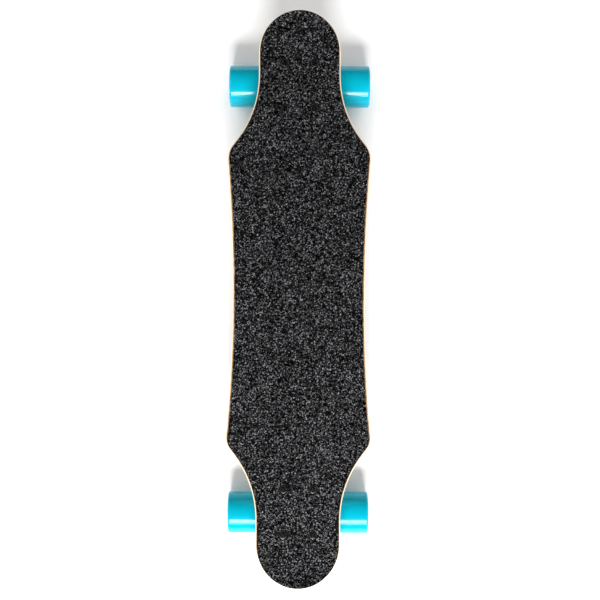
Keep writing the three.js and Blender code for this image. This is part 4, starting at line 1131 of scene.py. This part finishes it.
def build_tray():
    low, high = TRAY_LOW, TRAY_HIGH
    corner, chamfer, wall = 12, 7, 2.5
    under = high.z - FLANGE_THICK
    bend = low.z + chamfer

    def rows(half_x, half_y, steps):
        return [rounded_rect(half_x - inset, half_y - inset, radius, z) for inset, radius, z in steps]

    # (inset, corner radius, height): up the outside, round the flange, then down the inside
    rings = rows(TRAY_HALF_X, TRAY_HALF_Y, (
        (chamfer + 6, corner - 4, low.z), (chamfer + 1.6, corner - 0.8, low.z),
        (chamfer + 0.4, corner - 0.2, low.z + 0.5), (chamfer - 1.5, corner, low.z + 1.5),
        (1.4, corner, bend - 1.4), (0.35, corner, bend - 0.1), (0, corner, bend + 1.4),
        (0, corner, under - 1.8), (-0.5, corner + 0.5, under - 0.5), (-1.8, corner + 1.5, under),
    ))
    rings += rows(high.x, high.y, (
        (0.8, corner + 5.2, under), (0, corner + 6, under + 0.8), (0, corner + 6, high.z - 0.3),
        (0.3, corner + 5.7, high.z),
    ))
    rings += rows(TRAY_HALF_X, TRAY_HALF_Y, (
        (wall, corner - wall, high.z), (wall, corner - wall, bend + wall),
        (wall + chamfer, corner - wall, low.z + wall),
    ))
    points, faces = lofted(rings)
    tray = add_object("tray_shell", new_mesh("tray_shell", points, faces, MAT["tray"], 30))
    button = middle_mm("power_button")
    cutters = []
    for node, r in (("power_button", 6.1), ("charge_socket", 7.1)):
        place = Matrix.Translation((52, middle_mm(node).y, button.z)) @ ABOUT_X
        cutters.append(cutter("tray", band(0, r, 0, 20), 40, place))
    window_low, window_high = box_mm("battery_gauge_window")
    cutters.append(box_cutter(
        (50, window_low.y - 0.3, window_low.z - 0.3), (70, window_high.y + 0.3, window_high.z + 0.3)))
    sink_low, sink_high = box_mm("heatsink")
    cutters.append(box_cutter((-30, sink_low.y + 5, low.z - 5), (30, sink_high.y - 5, low.z + 5)))
    gland = middle_mm("cable_gland")
    place = Matrix.Translation((gland.x, -TRAY_HALF_Y - 8, gland.z)) @ Matrix.Rotation(-math.pi / 2, 4, "X")
    cutters.append(cutter("tray", band(0, 6, 0, 20), 40, place))
    boolean(tray, cutters)
    settle(tray, "board", "electronics_tray")
    build_tray_screws()


def box_cutter(low, high):
    """A box between two corners to cut the tray with."""
    (x0, y0, z0), (x1, y1, z1) = low, high
    points, faces = lofted([[(x0, y0, z), (x1, y0, z), (x1, y1, z), (x0, y1, z)] for z in (z0, z1)])
    return add_object("cutter", new_mesh("cutter", points, faces, MAT["tray"]))


def build_tray_screws():
    """Screws and washers up through the tray's flange."""
    screw = cap_screw("tray_screw", 2.9, 2.0, MAT["black_steel"])
    washer = soft_ring("tray_washer", band(2.2, 4.0, 0, 0.6), 0.2, 2, "zinc", 36)
    places = [(x, y) for y in (-160, -80, 0, 80, 160) for x in (-62.6, 62.6)]
    places += [(x, y) for y in (-204.2, 204.2) for x in (-34, 34)]
    scale = Matrix.Diagonal((0.85, 0.85, 1, 1))
    for i, (x, y) in enumerate(places):
        spot = Matrix.Translation((x, y, TRAY_HIGH.z - FLANGE_THICK)) @ Matrix.Rotation(math.pi, 4, "X")
        piece(f"tray_washer_{i}", washer, spot @ scale, "board")
        above = Matrix.Translation((0, 0, 0.6))
        piece(f"tray_screw_{i}", screw, spot @ above @ scale, "board")


def smooth_path(knots, steps):
    """Points of a Catmull-Rom curve through some knots."""
    padded = [2 * knots[0] - knots[1], *knots, 2 * knots[-1] - knots[-2]]
    points = []
    for a, b, c, d in zip(padded, padded[1:], padded[2:], padded[3:]):
        for i in range(steps):
            t = i / steps
            points.append(0.5 * (
                2 * b + (c - a) * t + (2 * a - 5 * b + 4 * c - d) * t ** 2
                + (3 * b - 3 * c + d - a) * t ** 3))
    points.append(knots[-1])
    return points


def build_motor_cable():
    """The motor's lead in its braided sleeve, bending between the tray and the hanger."""
    gland = middle_mm("cable_gland")
    axle_y = -AXLE_Y + OUTLET_BESIDE_AXLE
    knots = [Vector(knot) for knot in (
        (gland.x, -172, gland.z), (gland.x, -195, gland.z), (gland.x, -220, gland.z), (27, -240, 60),
        (33, -262, 50), (40, -280, 39), (47, -291, 32), (54, axle_y, AXLE_Z), (59.7, axle_y, AXLE_Z),
    )]
    path = smooth_path(knots, 14)
    sides = 24
    rings = []
    side = Vector((1, 0, 0))
    for i, point in enumerate(path):
        forward = (path[min(i + 1, len(path) - 1)] - path[max(i - 1, 0)]).normalized()
        side = (side - forward * side.dot(forward)).normalized()
        up = forward.cross(side)
        r = CABLE_R - 0.06 * (i % 2)
        rings.append([
            point + r * (side * math.cos(FULL_TURN * k / sides) + up * math.sin(FULL_TURN * k / sides))
            for k in range(sides)
        ])
    points, faces = lofted(rings)
    cable = add_object("motor_lead", new_mesh("motor_lead", points, faces, MAT["braid"], 60))
    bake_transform(cable)
    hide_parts("motor_cable")


def build_gland():
    """The lead's gland: a stub through the tray's wall, a hexagonal nut and a ribbed nose."""
    gland = middle_mm("cable_gland")
    bore = CABLE_R + 0.5
    rings = [circle_ring(bore, -7), circle_ring(5.6, -7), circle_ring(5.6, 0.3)]
    rings += hex_nut_rings(15.58, 0.3, 5)
    for i in range(12):
        t = i / 11
        rings.append(ring_of([(7.0 - t) * (1 - 0.05 * (k % 6 == 0)) for k in range(72)], 5 + 7.4 * t))
    rings += [circle_ring(5.4, 13), circle_ring(bore, 13), circle_ring(bore, -7)]
    points, faces = lofted(rings, False, False)
    wall_y = box_mm("cable_gland")[1].y - 7
    place = Matrix.Translation((gland.x, wall_y, gland.z)) @ Matrix.Rotation(math.pi / 2, 4, "X")
    mesh = new_mesh("cable_gland_nut", points, faces, MAT["nylon"])
    piece("cable_gland_nut", mesh, place, "board", "cable_gland")


def build_button():
    """A dished steel push button in a plated ring screwed to the tray's side."""
    low, high = box_mm("power_button")
    r = (high.y - low.y) / 2
    middle = middle_mm("power_button")
    place = Matrix.Translation((0, middle.y, middle.z)) @ ABOUT_X
    profile = [
        (0, low.x), (2.2, low.x), (2.2, high.x - 3.2), (r, high.x - 3.2), (r, high.x - 0.5),
        (r - 0.5, high.x), (r - 1.1, high.x), (r - 1.5, high.x - 0.3), (0, high.x - 0.5),
    ]
    cap = turned("power_button_cap", rounded(profile, 0.25, 3), MAT["button"], 64)
    piece("power_button_cap", cap, place, "button", "power_button")
    wall = TRAY_HALF_X
    ring = soft_ring("power_button_ring", [
        (6.25, wall), (9, wall), (8.6, wall + 1.5), (6.6, wall + 1.5),
    ], 0.4, 3, "anodised", 64)
    piece("power_button_ring", ring, place, "board")


def build_gauge_marks():
    """Four charge bars printed on the gauge's lens."""
    low, high = box_mm("battery_gauge_window")
    middle = (low + high) / 2
    points, faces = lofted([rounded_rect(0.8, 1.9, 0.5, z, 5) for z in (-0.2, 0.06)])
    mesh = new_mesh("gauge_mark", points, faces, MAT["gauge"])
    for i in range(4):
        spot = Matrix.Translation((high.x, middle.y + (i - 1.5) * 5.6, middle.z))
        piece(f"gauge_mark_{i}", mesh, spot @ ABOUT_X, "board")


# ------------------------------------------------------------------ carried-over CAD nodes

CAD_FINISH = {
    "front_pivot_cup": "bushing", "rear_pivot_cup": "bushing", "motor_magnets": "magnet",
    "motor_stator": "lamination", "tray_gasket": "rubber", "battery_pack": "cells", "bms_board": "board",
    "controller_board": "board", "heatsink": "anodised", "charge_socket": "nylon", "charge_cap": "rubber",
    "power_switch": "nylon", "battery_gauge_window": "lens",
}


def finish_cad_nodes():
    for node, finish in CAD_FINISH.items():
        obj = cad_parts[node]
        obj.data.materials.clear()
        obj.data.materials.append(MAT[finish])
        bevel = obj.modifiers.new("edge", "BEVEL")
        bevel.width = 0.3 * MM
        bevel.segments = 2
        bevel.limit_method = "ANGLE"
        bevel.angle_limit = math.radians(40)


# ------------------------------------------------------------------ stage

def build_stage():
    half = 6000
    points = [(-half, -half, 0), (half, -half, 0), (half, half, 0), (-half, half, 0)]
    s = Shader("paper_floor", Roughness=0.85, Specular_IOR_Level=0.2)
    s.color(s.ramp(s.noise(3.0, 2), [(0.3, (0.90, 0.90, 0.90)), (0.7, (0.92, 0.92, 0.92))]))
    floor = add_object("floor", new_mesh("floor", points, [(0, 1, 2, 3)], s.material))


def area_light(name, low_edge, high_edge, width, radiance):
    """A one-sided soft box between two edges, given as (y, z) in metres, facing the board."""
    low, high = Vector((0, *low_edge)), Vector((0, *high_edge))
    up = (high - low).normalized()
    facing = Vector((0, up.z, -up.y))
    if facing.dot(-low) < 0:
        facing = -facing
    data = bpy.data.lights.new(name, "AREA")
    data.shape = "RECTANGLE"
    data.size = width
    data.size_y = (high - low).length
    data.energy = radiance * math.pi * width * data.size_y
    light = bpy.data.objects.new(name, data)
    bpy.context.scene.collection.objects.link(light)
    light.matrix_world = Matrix((
        (1, 0, 0, 0), (0, up.y, -facing.y, 0), (0, up.z, -facing.z, 0), (0, 0, 0, 1))).to_4x4()
    light.location = (low + high) / 2


# Strength of the surround beside the board and in its middle, and where one fades into the other
SIDE_FADE = (0.14, 0.55)
MIDDLE_WHITE = 0.06
SIDE_WHITE = 1.15


def build_world():
    """White to the left and right, dim overhead and beyond the nose and tail, as over a copy stand."""
    world = bpy.data.worlds.new("surround")
    bpy.context.scene.world = world
    world.use_nodes = True
    nodes, links = world.node_tree.nodes, world.node_tree.links
    place = nodes.new("ShaderNodeTexCoord")
    split = nodes.new("ShaderNodeSeparateXYZ")
    sideways = nodes.new("ShaderNodeMath")
    sideways.operation = "ABSOLUTE"
    fade = nodes.new("ShaderNodeMapRange")
    fade.interpolation_type = "SMOOTHSTEP"
    for socket, value in (
        ("From Min", SIDE_FADE[0]), ("From Max", SIDE_FADE[1]),
        ("To Min", MIDDLE_WHITE), ("To Max", SIDE_WHITE),
    ):
        fade.inputs[socket].default_value = value
    background = nodes["Background"]
    background.inputs["Color"].default_value = (1, 1, 1, 1)
    links.new(place.outputs["Generated"], split.inputs["Vector"])
    links.new(split.outputs["X"], sideways.inputs[0])
    links.new(sideways.outputs[0], fade.inputs["Value"])
    links.new(fade.outputs["Result"], background.inputs["Strength"])


def build_lights():
    """A soft box behind the tail, weaker in its lower half, and the surround."""
    area_light("tail_softbox", (-2.33, 2.00), (-2.02, 2.64), 1.55, 36)
    area_light("tail_softbox_foot", (-2.44, 1.34), (-2.33, 2.00), 1.55, 14)
    build_world()
    bpy.context.scene.view_settings.view_transform = "Standard"


def build_camera():
    """Straight above the board, nose up, turned a quarter of a degree."""
    data = bpy.data.cameras.new("camera")
    data.lens = 61.9
    data.clip_end = 50
    camera = bpy.data.objects.new("camera", data)
    bpy.context.scene.collection.objects.link(camera)
    camera.location = (0.0017, -0.0007, GRIP_TOP * MM + 1.43)
    camera.rotation_euler = (0, 0, math.radians(0.25))
    bpy.context.scene.camera = camera


build_camera()
build_lights()
build_stage()
build_deck()
build_grip()
build_deck_bolts()
build_castings()
for truck_end in TRUCKS:
    build_kingpin_stack(truck_end)
    build_axle(truck_end)
build_plain_wheels()
build_motor_wheel()
build_tray()
build_motor_cable()
build_gland()
build_button()
build_gauge_marks()
finish_cad_nodes()
